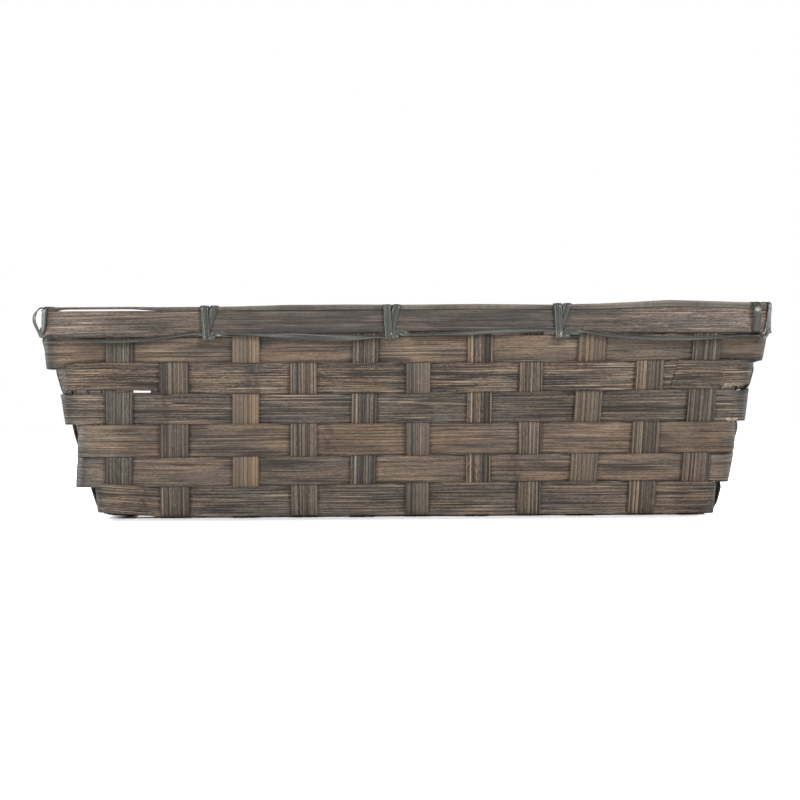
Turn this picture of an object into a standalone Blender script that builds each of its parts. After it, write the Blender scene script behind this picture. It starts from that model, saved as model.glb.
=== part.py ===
"""A rectangular tray woven from flat bamboo strips.

Eleven cross stakes and seven long stakes are woven through each other to make the
base, are creased at its edge and rise as the uprights of the walls. Six weavers run
round the walls, each one strip whose ends lap. The stake tops stand between an outer
and an inner rim hoop under a half-round cap, and one flat strand lashes the rim.

The origin is on the floor under the middle of the base. +X runs along the tray, +Y
away from the front, +Z up. All sizes are in metres.
"""

import math

import bmesh
import bpy
from mathutils import Matrix, Vector
from mathutils.kdtree import KDTree

# Overall sizes
RIM_LENGTH = 0.380  # over the outer hoop, along X
RIM_WIDTH = 0.270  # over the outer hoop, along Y
TRAY_HEIGHT = 0.110  # floor to the top of the cap
WALL_LEAN = math.radians(15.9)
CORNER_RADIUS = 0.009  # of the wall's middle surface at the rim, in plan
FOOT_CORNER_RADIUS = 0.005  # the same at the floor

# Strips
STAKE_WIDTH = 0.0145
STAKE_THICKNESS = 0.0011
WEAVER_THICKNESS = 0.0008
STRIP_GAP = 0.0003  # between strips that bear on each other
ROW_GAP = 0.0008  # between the edges of two weavers
CREASE_RADIUS = 0.002  # of a stake where the base turns up
FLAT_MARGIN = 0.0006  # a strip stays flat this far past the edge of the one it crosses
LAP_TAIL = 0.005  # a weaver's end stands this far past the last stake of its lap

# Rim
HOOP_WIDTH = 0.0118
HOOP_THICKNESS = 0.0018
HOOP_EDGE_ROUNDING = 0.0004
SCARF_LENGTH = 0.036  # the slanted joint between a hoop's two ends
CAP_HEIGHT = 0.0022
LASH_WIDTH = 0.0036
LASH_THICKNESS = 0.0005
LASH_GAP = 0.0005  # between two layers of the strand
LASH_BEND = 0.0007  # corner that the strand cuts as it wraps an edge
LASH_TURN_RADIUS = 0.0023  # of the strand where it turns in its own plane
LASH_SPREAD = 0.0025  # half the distance between a lashing's two bands
LASH_CORNER_SPREAD = 0.0038  # the same at a corner, along the wall's middle surface
LASH_SLANT = 0.0024  # sideways lean of the second band
LASH_SAG = 0.0032  # droop of the strand between two lashings
LASH_TAIL = 0.010  # free end of the strand
LASH_ENDS_APART = 0.004

# Places that were read from the real tray, as shares of the size that they follow.
# Row edges go from the crease to the rim. Stake feet go from the middle of the base to
# the last place beside the corner, and heads from the middle of the rim to its end.
ROW_EDGE_SHARES = (0.0, 0.164, 0.330, 0.511, 0.678, 0.840, 1.0)
CROSS_FOOT_SHARES = (
    -1.000, -0.802, -0.556, -0.352, -0.150, 0.042, 0.251, 0.430, 0.612, 0.821, 1.000,
)
CROSS_HEAD_SHARES = (
    -0.777, -0.630, -0.432, -0.277, -0.102, 0.040, 0.210, 0.352, 0.522, 0.683, 0.837,
)
CROSS_WIDTH_SHARES = (1.00, 1.07, 0.98, 0.98, 0.93, 0.87, 0.89, 0.86, 0.96, 0.99, 1.00)
LONG_FOOT_SHARES = (-0.985, -0.665, -0.319, 0.004, 0.335, 0.655, 0.985)
LONG_WIDTH_SHARES = (1.03, 0.97, 1.00, 0.95, 1.02, 0.98, 1.04)

# Stakes that each lashing lies between, and the crossing where each weaver's lap
# starts, counted anticlockwise from the left end of the front.
LASHED_CROSS_PAIRS = ((1, 2), (4, 5), (7, 8))
LASHED_LONG_PAIRS = ((1, 2), (4, 5))
LAP_STARTS = (23, 27, 21, 25, 8, 20)
LAP_CROSSINGS = 2

# Fineness of the curved stretches
CORNER_STEPS = 5
CREASE_STEPS = 3
TURN_STEPS = 3
CAP_STEPS = 5
EASE_SHARES = (0.3, 0.7)
SAG_SHARES = (0.25, 0.5, 0.75)
GAP_SAMPLES = 6

# What follows from the sizes above
WEAVE_REACH = STAKE_THICKNESS / 2 + STRIP_GAP + WEAVER_THICKNESS / 2
LAP_RISE = WEAVER_THICKNESS + STRIP_GAP
BASE_REACH = (STAKE_THICKNESS + STRIP_GAP) / 2
BASE_MIDDLE_Z = STAKE_THICKNESS / 2 + BASE_REACH
HOOP_MIDDLE = STAKE_THICKNESS / 2 + STRIP_GAP + HOOP_THICKNESS / 2
RIM_FACE = HOOP_MIDDLE + HOOP_THICKNESS / 2
LASH_LIFT = STRIP_GAP + LASH_THICKNESS / 2
CAP_BOTTOM_Z = TRAY_HEIGHT - CAP_HEIGHT
HOOP_TOP_Z = CAP_BOTTOM_Z - STRIP_GAP
HOOP_BOTTOM_Z = HOOP_TOP_Z - HOOP_WIDTH
ROWS_TOP_Z = HOOP_BOTTOM_Z - LASH_THICKNESS - 2 * STRIP_GAP
CREASE_TANGENT = CREASE_RADIUS * math.tan((math.pi / 2 - WALL_LEAN) / 2)
ROWS_BOTTOM_Z = BASE_MIDDLE_Z + CREASE_TANGENT * math.cos(WALL_LEAN)
ROW_EDGES_Z = [ROWS_BOTTOM_Z + (ROWS_TOP_Z - ROWS_BOTTOM_Z) * share for share in ROW_EDGE_SHARES]
ROW_COUNT = len(ROW_EDGE_SHARES) - 1

FRONT, RIGHT, BACK, LEFT = range(4)


def wall_spread(z):
    """How far the wall's middle surface has moved outwards at height z."""
    return (min(z, ROWS_TOP_Z) - BASE_MIDDLE_Z) * math.tan(WALL_LEAN)


RIM_HALF_LENGTH = RIM_LENGTH / 2 - RIM_FACE
RIM_HALF_WIDTH = RIM_WIDTH / 2 - RIM_FACE
BASE_HALF_LENGTH = RIM_HALF_LENGTH - wall_spread(TRAY_HEIGHT)
BASE_HALF_WIDTH = RIM_HALF_WIDTH - wall_spread(TRAY_HEIGHT)
BOTTOM_ROW_SPREAD = wall_spread((ROW_EDGES_Z[0] + ROW_EDGES_Z[1]) / 2)
FOOT_MARGIN = FOOT_CORNER_RADIUS + STAKE_WIDTH / 2 + FLAT_MARGIN - BOTTOM_ROW_SPREAD


def cross_stake_x(index, z, side):
    """Where a cross stake stands: it leans along the front wall and is upright at the back."""
    foot = CROSS_FOOT_SHARES[index] * (BASE_HALF_LENGTH - FOOT_MARGIN)
    head = CROSS_HEAD_SHARES[index] * RIM_HALF_LENGTH
    return foot + (head - foot) * z / TRAY_HEIGHT if side == FRONT else foot


def cross_stake_width(index):
    return STAKE_WIDTH * CROSS_WIDTH_SHARES[index]


def long_stake_y(index):
    return LONG_FOOT_SHARES[index] * (BASE_HALF_WIDTH - FOOT_MARGIN)


def long_stake_width(index):
    return STAKE_WIDTH * LONG_WIDTH_SHARES[index]


def ease(share):
    """Smooth step from 0 to 1."""
    share = min(max(share, 0.0), 1.0)
    return share * share * (3 - 2 * share)


class WallLoop:
    """A line round the tray: a rounded rectangle, travelled anticlockwise from the
    left end of the front side. Its middle surface is the stakes'."""

    def __init__(self, half_length, half_width, radius=CORNER_RADIUS):
        self.radius = radius
        self.straights = (half_length - radius, half_width - radius) * 2
        self.arc = radius * math.pi / 2
        self.length = 2 * sum(self.straights) + 4 * self.arc

    def side_start(self, side):
        return 2 * sum(self.straights[:side]) + side * self.arc

    def travel(self, side, place):
        """Distance round to a place on a side, given by its x or y."""
        forwards = place if side in (FRONT, RIGHT) else -place
        return self.side_start(side) + self.straights[side] + forwards

    def corner(self, side):
        """Where the corner at the end of a side starts and ends."""
        start = self.side_start(side) + 2 * self.straights[side]
        return start, start + self.arc

    def at(self, travel, out=0.0):
        """The point at a distance round, moved outwards, and its outward direction."""
        travel %= self.length
        side = FRONT
        while side < LEFT and travel >= self.side_start(side + 1):
            side += 1
        along = travel - self.side_start(side)
        turned = max(0.0, along - 2 * self.straights[side]) / self.radius
        outward = Matrix.Rotation(side * math.pi / 2 + turned, 3, "Z") @ Vector((0, -1, 0))
        heading = Matrix.Rotation(side * math.pi / 2, 3, "Z") @ Vector((1, 0, 0))
        sideways = Matrix.Rotation(side * math.pi / 2, 3, "Z") @ Vector((0, -1, 0))
        ahead = min(along, 2 * self.straights[side]) - self.straights[side]
        point = heading * ahead + sideways * self.straights[(side + 1) % 4]
        return point + outward * (self.radius + out), outward


def make_material(name, colour, roughness):
    material = bpy.data.materials.new(name)
    material.use_nodes = True
    shader = material.node_tree.nodes["Principled BSDF"]
    shader.inputs["Base Color"].default_value = (*colour, 1)
    shader.inputs["Roughness"].default_value = roughness
    shader.inputs["Metallic"].default_value = 0
    return material


def ribbon(name, centres, acrosses, width, thickness, material, closed=False):
    """A flat strip: the line of one long edge, drawn across to the other edge and
    thickened equally both ways."""
    form = bmesh.new()
    halves = [across.normalized() * (width / 2) for across in acrosses]
    near_edge = [form.verts.new(centre - half) for centre, half in zip(centres, halves)]
    ends = list(zip(near_edge, near_edge[1:]))
    if closed:
        ends.append((near_edge[-1], near_edge[0]))
    line = [form.edges.new(pair) for pair in ends]
    bmesh.ops.extrude_edge_only(form, edges=line)
    for vert, half in zip(near_edge, halves):
        rung = next(edge for edge in vert.link_edges if edge not in line)
        rung.other_vert(vert).co = vert.co + 2 * half
    mesh = bpy.data.meshes.new(name)
    form.to_mesh(mesh)
    form.free()
    strip = bpy.data.objects.new(name, mesh)
    strip.data.materials.append(material)
    tray.objects.link(strip)
    solidify = strip.modifiers.new("Thickness", "SOLIDIFY")
    solidify.thickness = thickness
    solidify.offset = 0
    solidify.use_even_offset = True
    return strip


def wall_profile(base_half):
    """A stake's line in one wall as (distance out, height), from its top to its crease."""
    upright_z = (ROWS_TOP_Z + HOOP_BOTTOM_Z) / 2
    line = [(base_half + wall_spread(z), z) for z in (HOOP_TOP_Z, upright_z)]
    centre_out = base_half - CREASE_TANGENT
    centre_z = BASE_MIDDLE_Z + CREASE_RADIUS
    for step in range(CREASE_STEPS + 1):
        angle = -WALL_LEAN - (math.pi / 2 - WALL_LEAN) * step / CREASE_STEPS
        out = centre_out + CREASE_RADIUS * math.cos(angle)
        line.append((out, centre_z + CREASE_RADIUS * math.sin(angle)))
    return line


def base_line(places, widths, on_top):
    """A stake's line through the base as (distance along, height), over and under
    the stakes that it crosses."""
    line = []
    for place, width, top in zip(places, widths, on_top):
        height = BASE_MIDDLE_Z + (BASE_REACH if top else -BASE_REACH)
        flat = width / 2 + FLAT_MARGIN
        line += [(place - flat, height), (place + flat, height)]
    return line


def make_cross_stake(index, material):
    """A strip from the front rim, down, through the base and up to the back rim."""
    places = [long_stake_y(j) for j in range(len(LONG_FOOT_SHARES))]
    widths = [long_stake_width(j) for j in range(len(LONG_FOOT_SHARES))]
    on_top = [(index + j) % 2 == 1 for j in range(len(LONG_FOOT_SHARES))]
    wall = wall_profile(BASE_HALF_WIDTH)
    centres = [Vector((cross_stake_x(index, z, FRONT), -out, z)) for out, z in wall]
    foot = cross_stake_x(index, 0, BACK)
    centres += [Vector((foot, y, z)) for y, z in base_line(places, widths, on_top)]
    centres += [Vector((foot, out, z)) for out, z in reversed(wall)]
    acrosses = [Vector((1, 0, 0))] * len(centres)
    name = f"cross_stake_{index + 1:02d}"
    return ribbon(name, centres, acrosses, cross_stake_width(index), STAKE_THICKNESS, material)


def make_long_stake(index, material):
    """A strip from the left rim, down, through the base and up to the right rim."""
    count = len(CROSS_FOOT_SHARES)
    places = [cross_stake_x(i, 0, BACK) for i in range(count)]
    widths = [cross_stake_width(i) for i in range(count)]
    on_top = [(index + i) % 2 == 0 for i in range(count)]
    y = long_stake_y(index)
    wall = wall_profile(BASE_HALF_LENGTH)
    centres = [Vector((-out, y, z)) for out, z in wall]
    centres += [Vector((x, y, z)) for x, z in base_line(places, widths, on_top)]
    centres += [Vector((out, y, z)) for out, z in reversed(wall)]
    acrosses = [Vector((0, 1, 0))] * len(centres)
    name = f"long_stake_{index + 1}"
    return ribbon(name, centres, acrosses, long_stake_width(index), STAKE_THICKNESS, material)


def row_crossings(loop, row, z):
    """Each stake that a weaver passes, in order: (distance round, flat half length,
    +1 where the weaver passes outside or -1 inside)."""
    found = []
    for side in (FRONT, RIGHT, BACK, LEFT):
        crossways = side in (FRONT, BACK)
        indexes = range(len(CROSS_FOOT_SHARES if crossways else LONG_FOOT_SHARES))
        for index in indexes if side in (FRONT, RIGHT) else reversed(indexes):
            place = cross_stake_x(index, z, side) if crossways else long_stake_y(index)
            width = cross_stake_width(index) if crossways else long_stake_width(index)
            outside = (index + row) % 2 == (1 if crossways else 0)
            found.append((loop.travel(side, place), width / 2 + FLAT_MARGIN, 1 if outside else -1))
    return found


def weaver_flats(loop, row, z):
    """The flat stretches of a weaver, one for each stake that it passes, as (start,
    end, offset). Where its ends lap, both layers keep to their own side."""
    crossings = row_crossings(loop, row, z)
    count = len(crossings)
    first = LAP_STARTS[row - 1]
    flats = []
    for step in range(first, first + count + LAP_CROSSINGS):
        travel, flat, side = crossings[step % count]
        travel += step // count * loop.length
        offset = side * WEAVE_REACH
        if step < first + LAP_CROSSINGS and side < 0:
            offset -= LAP_RISE
        if step >= first + count and side > 0:
            offset += LAP_RISE
        flats.append((travel - flat, travel + flat, offset))
    return flats


def offset_between(flats, travel, loop):
    """A weaver's offset between two of its flats. It changes sides as it goes, or
    inside the corner where there is one."""
    before = max((flat for flat in flats if flat[0] <= travel), key=lambda flat: flat[0])
    after = min((flat for flat in flats if flat[1] >= travel), key=lambda flat: flat[0])
    if before == after:
        return before[2]
    start, end = before[1], after[0]
    for corner_start, corner_end in corners_between(loop, start, end):
        start, end = max(start, corner_start), min(end, corner_end)
    return before[2] + (after[2] - before[2]) * ease((travel - start) / (end - start))


def corners_between(loop, start, end):
    """Corners that lie at least partly between two distances, over two turns round."""
    found = []
    for turn in (0, loop.length, 2 * loop.length):
        for side in (FRONT, RIGHT, BACK, LEFT):
            corner_start, corner_end = (edge + turn for edge in loop.corner(side))
            if corner_end > start and corner_start < end:
                found.append((corner_start, corner_end))
    return found


def weaver_stops(loop, flats):
    """Distances round at which a weaver has a cross line, as (distance, offset)."""
    stops = []
    for flat, after in zip(flats, flats[1:]):
        stops += [(flat[0], flat[2]), (flat[1], flat[2])]
        start, end = flat[1], after[0]
        corners = corners_between(loop, start, end)
        if corners:
            step = loop.arc / CORNER_STEPS
            middles = [corners[0][0] + step * i for i in range(CORNER_STEPS + 1)]
            middles = [travel for travel in middles if start < travel < end]
        else:
            middles = [start + (end - start) * share for share in EASE_SHARES]
        stops += [(travel, offset_between(flats, travel, loop)) for travel in middles]
    stops += [(flats[-1][0], flats[-1][2]), (flats[-1][1], flats[-1][2])]
    head, tail = flats[0][0] - LAP_TAIL, flats[-1][1] + LAP_TAIL
    head_offset = offset_between(flats, head + loop.length, loop) - LAP_RISE
    tail_offset = offset_between(flats, tail - loop.length, loop) + LAP_RISE
    return [(head, head_offset), *stops, (tail, tail_offset)]


def make_weaver(row, material):
    """One strip woven round the walls, its ends lapped over two stakes."""
    low = ROW_EDGES_Z[row - 1] + ROW_GAP / 2
    high = ROW_EDGES_Z[row] - ROW_GAP / 2
    z = (low + high) / 2
    radius = FOOT_CORNER_RADIUS + (CORNER_RADIUS - FOOT_CORNER_RADIUS) * z / TRAY_HEIGHT
    loop = WallLoop(BASE_HALF_LENGTH + wall_spread(z), BASE_HALF_WIDTH + wall_spread(z), radius)
    centres, acrosses = [], []
    for travel, offset in weaver_stops(loop, weaver_flats(loop, row, z)):
        point, outward = loop.at(travel, offset * math.cos(WALL_LEAN))
        centres.append(point + Vector((0, 0, z - offset * math.sin(WALL_LEAN))))
        acrosses.append(outward * math.sin(WALL_LEAN) + Vector((0, 0, math.cos(WALL_LEAN))))
    width = (high - low) / math.cos(WALL_LEAN)
    return ribbon(f"weaver_{row}", centres, acrosses, width, WEAVER_THICKNESS, material)


def rim_stops(loop):
    """Distances round for a hoop or the cap: the ends of the straights and the corners."""
    stops = []
    for side in (FRONT, RIGHT, BACK, LEFT):
        start, end = loop.corner(side)
        stops += [start + (end - start) * i / CORNER_STEPS for i in range(CORNER_STEPS + 1)]
    return stops


def cut(piece, cutter):
    boolean = piece.modifiers.new("Cut", "BOOLEAN")
    boolean.operation = "DIFFERENCE"
    boolean.object = cutter
    return piece


def make_scarf_cutter(name, middle, length, thickness, height, angle):
    """A thin upright slab, slanted through a hoop to part its two ends."""
    bpy.ops.mesh.primitive_cube_add(size=1, location=middle, rotation=(0, 0, angle))
    cutter = bpy.context.object
    cutter.name = name
    cutter.scale = (length, thickness, height)
    bpy.ops.object.transform_apply(location=False, rotation=False, scale=True)
    for owner in list(cutter.users_collection):
        owner.objects.unlink(cutter)
    cutters.objects.link(cutter)
    cutter.hide_render = True
    cutter.display_type = "WIRE"
    return cutter


def make_hoop(name, out, scarf_x, material):
    """A flat hoop round the rim, its edges eased and its ends scarfed at the back."""
    loop = WallLoop(RIM_HALF_LENGTH, RIM_HALF_WIDTH)
    z = (HOOP_TOP_Z + HOOP_BOTTOM_Z) / 2
    centres = [loop.at(travel, out)[0] + Vector((0, 0, z)) for travel in rim_stops(loop)]
    upright = [Vector((0, 0, 1))] * len(centres)
    hoop = ribbon(name, centres, upright, HOOP_WIDTH, HOOP_THICKNESS, material, closed=True)
    bevel = hoop.modifiers.new("Eased edges", "BEVEL")
    bevel.width = HOOP_EDGE_ROUNDING
    bevel.segments = 1
    bevel.limit_method = "ANGLE"
    bevel.angle_limit = math.radians(60)
    slant = math.atan2(HOOP_THICKNESS + STRIP_GAP, SCARF_LENGTH)
    slab = math.hypot(SCARF_LENGTH, HOOP_THICKNESS) + SCARF_LENGTH / 2
    middle = (scarf_x, RIM_HALF_WIDTH + out, z)
    cutter = make_scarf_cutter(f"{name}_scarf", middle, slab, STRIP_GAP, 2 * HOOP_WIDTH, slant)
    return cut(hoop, cutter)


def make_cap(material):
    """The half-round strip that covers the tops of the hoops and stakes."""
    profile = bpy.data.curves.new("cap_section", "CURVE")
    outline = profile.splines.new("POLY")
    outline.points.add(CAP_STEPS)
    for step, point in enumerate(outline.points):
        angle = math.pi * (1 - step / CAP_STEPS)
        point.co = (RIM_FACE * math.cos(angle), CAP_HEIGHT * math.sin(angle), 0, 1)
    outline.use_cyclic_u = True
    section = bpy.data.objects.new("cap_section", profile)
    section.hide_render = True
    cutters.objects.link(section)
    loop = WallLoop(RIM_HALF_LENGTH, RIM_HALF_WIDTH)
    path = bpy.data.curves.new("rim_cap", "CURVE")
    path.dimensions = "3D"
    path.twist_mode = "Z_UP"
    path.bevel_mode = "OBJECT"
    path.bevel_object = section
    line = path.splines.new("POLY")
    stops = rim_stops(loop)
    line.points.add(len(stops) - 1)
    for point, travel in zip(line.points, stops):
        point.co = (*(loop.at(travel)[0] + Vector((0, 0, CAP_BOTTOM_Z))), 1)
    line.use_cyclic_u = True
    path.materials.append(material)
    cap = bpy.data.objects.new("rim_cap", path)
    tray.objects.link(cap)
    return cap


class Strand:
    """The lashing's line in rim terms: distance round, distance out and height, with
    the direction that its width lies in."""

    def __init__(self):
        self.stops = []

    def go(self, travel, out, z, across=(-1, 0, 0), steps=1):
        if self.stops and steps > 1:
            start = self.stops[-1]
            for step in range(1, steps):
                share = step / steps
                place = [a + (b - a) * share for a, b in zip(start[0], (travel, out, z))]
                turned = [a + (b - a) * share for a, b in zip(start[1], across)]
                self.stops.append((tuple(place), tuple(turned)))
        self.stops.append(((travel, out, z), across))

    def turn(self, travel, out, z, first, last):
        """A turn in the strand's own plane, about a centre, between two headings."""
        for step in range(TURN_STEPS + 1):
            heading = first + (last - first) * step / TURN_STEPS
            across = (-math.sin(heading), 0, math.cos(heading))
            away = LASH_TURN_RADIUS if last < first else -LASH_TURN_RADIUS
            self.go(travel + across[0] * away, out, z + across[2] * away, across)


def wrap(strand, top, bottom, front_level, back_level):
    """From the front face over the cap, down inside and out again under the hoops."""
    over_z = TRAY_HEIGHT + LASH_LIFT
    under_z = HOOP_BOTTOM_Z - LASH_LIFT
    strand.go(top, front_level, over_z - LASH_BEND, steps=TURN_STEPS)
    strand.go(top, front_level - LASH_BEND, over_z)
    strand.go(top, LASH_BEND - back_level, over_z)
    strand.go(top, -back_level, over_z - LASH_BEND)
    strand.go(bottom, -back_level, under_z + LASH_BEND)
    strand.go(bottom, LASH_BEND - back_level, under_z)


def lash(strand, middle, spread, tuck):
    """One lashing: the strand comes along the hoop, climbs in a slanted band, wraps the
    rim, climbs again in an upright band over its own start, wraps once more and leaves.
    Inside a corner it is tucked in further, because it lies flat across the bend."""
    near = RIM_FACE + LASH_LIFT
    far = near + LASH_THICKNESS + LASH_GAP
    under_z = HOOP_BOTTOM_Z - LASH_LIFT
    run_z = under_z + LASH_BEND + LASH_GAP + LASH_WIDTH / 2
    upright = middle - spread
    slanted = middle + spread
    slanted_foot = slanted - LASH_SLANT
    leaving = slanted_foot + LASH_WIDTH
    turn_start = slanted_foot - LASH_TURN_RADIUS
    strand.go(upright - LASH_WIDTH, near, run_z, (0, 0, 1))
    strand.go(turn_start, near, run_z, (0, 0, 1), TURN_STEPS)
    strand.turn(turn_start, near, run_z + LASH_TURN_RADIUS, 0, math.pi / 2)
    wrap(strand, slanted, upright, near, near + tuck)
    strand.go(upright, far - LASH_BEND, under_z)
    strand.go(upright, far, under_z + LASH_BEND)
    wrap(strand, upright, leaving, far, far + 2 * tuck)
    strand.go(leaving, near - LASH_BEND, under_z)
    strand.turn(leaving + LASH_TURN_RADIUS, near, under_z + LASH_BEND, math.pi / 2, 0)


def lashing_places(loop):
    """Every lashing in order round the rim, as (distance round, spread, tuck)."""
    inner_radius = CORNER_RADIUS - RIM_FACE - LASH_LIFT
    corner_tuck = inner_radius - math.sqrt(inner_radius ** 2 - (LASH_WIDTH / 2) ** 2)
    places = []
    for side in (FRONT, RIGHT, BACK, LEFT):
        crossways = side in (FRONT, BACK)
        for pair in LASHED_CROSS_PAIRS if crossways else LASHED_LONG_PAIRS:
            if crossways:
                stakes = [cross_stake_x(index, HOOP_BOTTOM_Z, side) for index in pair]
            else:
                stakes = [long_stake_y(index) for index in pair]
            places.append((loop.travel(side, sum(stakes) / 2), LASH_SPREAD, 0))
        places.append((sum(loop.corner(side)) / 2, LASH_CORNER_SPREAD, corner_tuck))
    return sorted(places)


def least_self_gap(centres, acrosses):
    """Least clear distance between two stretches of the strand that pass each other."""
    points = []
    walked = 0.0
    lines = list(zip(centres, acrosses))
    for (start, first), (end, second) in zip(lines, lines[1:]):
        for step in range(GAP_SAMPLES):
            share = step / GAP_SAMPLES
            centre = start.lerp(end, share)
            half = first.lerp(second, share).normalized() * (LASH_WIDTH / 2)
            place = walked + (end - start).length * share
            points += [(centre + half * (2 * i / GAP_SAMPLES - 1), place) for i in range(GAP_SAMPLES + 1)]
        walked += (end - start).length
    tree = KDTree(len(points))
    for index, (point, _) in enumerate(points):
        tree.insert(point, index)
    tree.balance()
    least = LASH_WIDTH
    for point, place in points:
        for _, index, distance in tree.find_range(point, LASH_WIDTH / 2):
            if abs(points[index][1] - place) > 2 * LASH_WIDTH:
                least = min(least, distance - LASH_THICKNESS)
    return least


def make_lashing(material):
    """The flat strand that binds the rim, from one end to the other."""
    loop = WallLoop(RIM_HALF_LENGTH, RIM_HALF_WIDTH)
    near = RIM_FACE + LASH_LIFT
    run_z = HOOP_BOTTOM_Z + LASH_WIDTH / 2
    places = lashing_places(loop)
    first = next(i for i, place in enumerate(places) if place[0] > loop.side_start(BACK))
    order = places[first:] + [(middle + loop.length, *rest) for middle, *rest in places[:first]]
    begins = [middle - spread - LASH_WIDTH for middle, spread, _ in order]
    start = begins[0] - LASH_TAIL
    ends = [*begins[1:], start + loop.length - LASH_ENDS_APART]
    strand = Strand()
    strand.go(start, near, run_z, (0, 0, 1))
    for place, arriving in zip(order, ends):
        lash(strand, *place)
        (leaving, _, leaving_z), _ = strand.stops[-1]
        for share in SAG_SHARES:
            sag = LASH_SAG * math.sin(math.pi * share)
            travel = leaving + (arriving - leaving) * share
            strand.go(travel, near, leaving_z + (run_z - leaving_z) * share - sag, (0, 0, 1))
    strand.go(ends[-1], near, run_z, (0, 0, 1))
    centres, acrosses = [], []
    for (travel, out, z), (along, sideways, upwards) in strand.stops:
        point, outward = loop.at(travel, out)
        forwards = Vector((-outward.y, outward.x, 0))
        centres.append(point + Vector((0, 0, z)))
        acrosses.append(forwards * along + outward * sideways + Vector((0, 0, upwards)))
    print(f"least gap of the lashing to itself: {least_self_gap(centres, acrosses) * 1000:.2f} mm")
    return ribbon("rim_lashing", centres, acrosses, LASH_WIDTH, LASH_THICKNESS, material)


for old in list(bpy.data.objects):
    bpy.data.objects.remove(old)
tray = bpy.data.collections.new("bamboo_tray")
cutters = bpy.data.collections.new("cutters")
for collection in (tray, cutters):
    bpy.context.scene.collection.children.link(collection)

stake_bamboo = make_material("stake_bamboo", (0.155, 0.122, 0.090), 0.6)
weaver_bamboo = make_material("weaver_bamboo", (0.130, 0.100, 0.072), 0.55)
rim_bamboo = make_material("rim_bamboo", (0.110, 0.088, 0.072), 0.55)
cap_bark = make_material("cap_bark", (0.120, 0.118, 0.100), 0.45)
lash_bark = make_material("lash_bark", (0.130, 0.138, 0.120), 0.4)

for stake in range(len(CROSS_FOOT_SHARES)):
    make_cross_stake(stake, stake_bamboo)
for stake in range(len(LONG_FOOT_SHARES)):
    make_long_stake(stake, stake_bamboo)
for row in range(1, ROW_COUNT + 1):
    make_weaver(row, weaver_bamboo)
make_hoop("outer_rim_hoop", HOOP_MIDDLE, 0.0, rim_bamboo)
make_hoop("inner_rim_hoop", -HOOP_MIDDLE, 0.0, rim_bamboo)
make_cap(cap_bark)
make_lashing(lash_bark)
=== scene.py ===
import math

import bpy
import numpy as np
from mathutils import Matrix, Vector


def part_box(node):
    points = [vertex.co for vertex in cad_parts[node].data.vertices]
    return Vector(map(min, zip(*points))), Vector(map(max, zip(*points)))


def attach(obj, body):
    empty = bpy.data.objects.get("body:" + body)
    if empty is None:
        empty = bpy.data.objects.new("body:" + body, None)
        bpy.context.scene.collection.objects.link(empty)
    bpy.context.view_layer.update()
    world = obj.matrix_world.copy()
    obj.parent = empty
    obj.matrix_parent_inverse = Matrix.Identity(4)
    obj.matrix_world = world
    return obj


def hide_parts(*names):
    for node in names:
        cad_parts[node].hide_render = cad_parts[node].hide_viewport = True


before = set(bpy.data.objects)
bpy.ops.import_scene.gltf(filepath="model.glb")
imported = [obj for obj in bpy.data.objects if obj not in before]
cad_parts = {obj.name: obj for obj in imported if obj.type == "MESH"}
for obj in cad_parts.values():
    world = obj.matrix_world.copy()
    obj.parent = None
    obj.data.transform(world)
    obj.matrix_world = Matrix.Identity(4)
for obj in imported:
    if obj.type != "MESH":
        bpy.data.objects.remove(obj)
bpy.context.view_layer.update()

# Sizes in metres, as in the part. model.glb gives the rim's.
hoop_low, hoop_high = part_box("outer_rim_hoop")
RIM_LENGTH = hoop_high.x - hoop_low.x
RIM_WIDTH = hoop_high.y - hoop_low.y
TRAY_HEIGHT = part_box("rim_cap")[1].z
WALL_LEAN = math.radians(15.9)
CORNER_RADIUS = 0.009
FOOT_CORNER_RADIUS = 0.005
STRIP_BEND_RADIUS = 0.009
STAKE_WIDTH = 0.0145
STAKE_THICKNESS = 0.0011
WEAVER_THICKNESS = 0.0008
STRIP_GAP = 0.0003
CREASE_RADIUS = 0.002
FLAT_MARGIN = 0.0006
LAP_TAIL = 0.005
HOOP_WIDTH = 0.0118
HOOP_THICKNESS = 0.0018
CAP_HEIGHT = 0.0022
LASH_WIDTH = 0.0040
LASH_THICKNESS = 0.0005
LASH_GAP = 0.0005
LASH_BEND = 0.0007
LASH_TURN_RADIUS = 0.0023
LASH_SPREAD = 0.0025
LASH_CORNER_SPREAD = 0.0038
LASH_SLANT = 0.0034
LASH_SAG = 0.0032
LASH_TAIL = 0.010
LASH_ENDS_APART = 0.004

# Places read from the real tray, as shares of the size that they follow
ROW_EDGE_SHARES = (0.0, 0.164, 0.330, 0.511, 0.678, 0.840, 1.0)
CROSS_FOOT_SHARES = (
    -1.000, -0.802, -0.556, -0.352, -0.150, 0.042, 0.251, 0.430, 0.612, 0.821, 1.000,
)
CROSS_HEAD_SHARES = (
    -0.777, -0.630, -0.432, -0.277, -0.102, 0.040, 0.210, 0.352, 0.522, 0.683, 0.837,
)
CROSS_WIDTH_SHARES = (1.00, 1.07, 0.98, 0.98, 0.93, 0.87, 0.89, 0.86, 0.96, 0.99, 1.00)
LONG_FOOT_SHARES = (-0.985, -0.665, -0.319, 0.004, 0.335, 0.655, 0.985)
LONG_WIDTH_SHARES = (1.03, 0.97, 1.00, 0.95, 1.02, 0.98, 1.04)
LASHED_CROSS_PAIRS = ((1, 2), (4, 5), (7, 8))
LASHED_LONG_PAIRS = ((1, 2), (4, 5))
LAP_STARTS = (23, 27, 21, 25, 8, 20)
LAP_CROSSINGS = 2
CROSS_TONES = (0.38, 0.35, 0.58, 0.42, 0.36, 0.44, 0.58, 0.42, 0.36, 0.48, 0.42)
CROSS_GREYS = (0.9, 0.85, 0.1, 0.65, 0.95, 0.9, 0.4, 0.4, 0.35, 0.3, 0.5)
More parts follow.
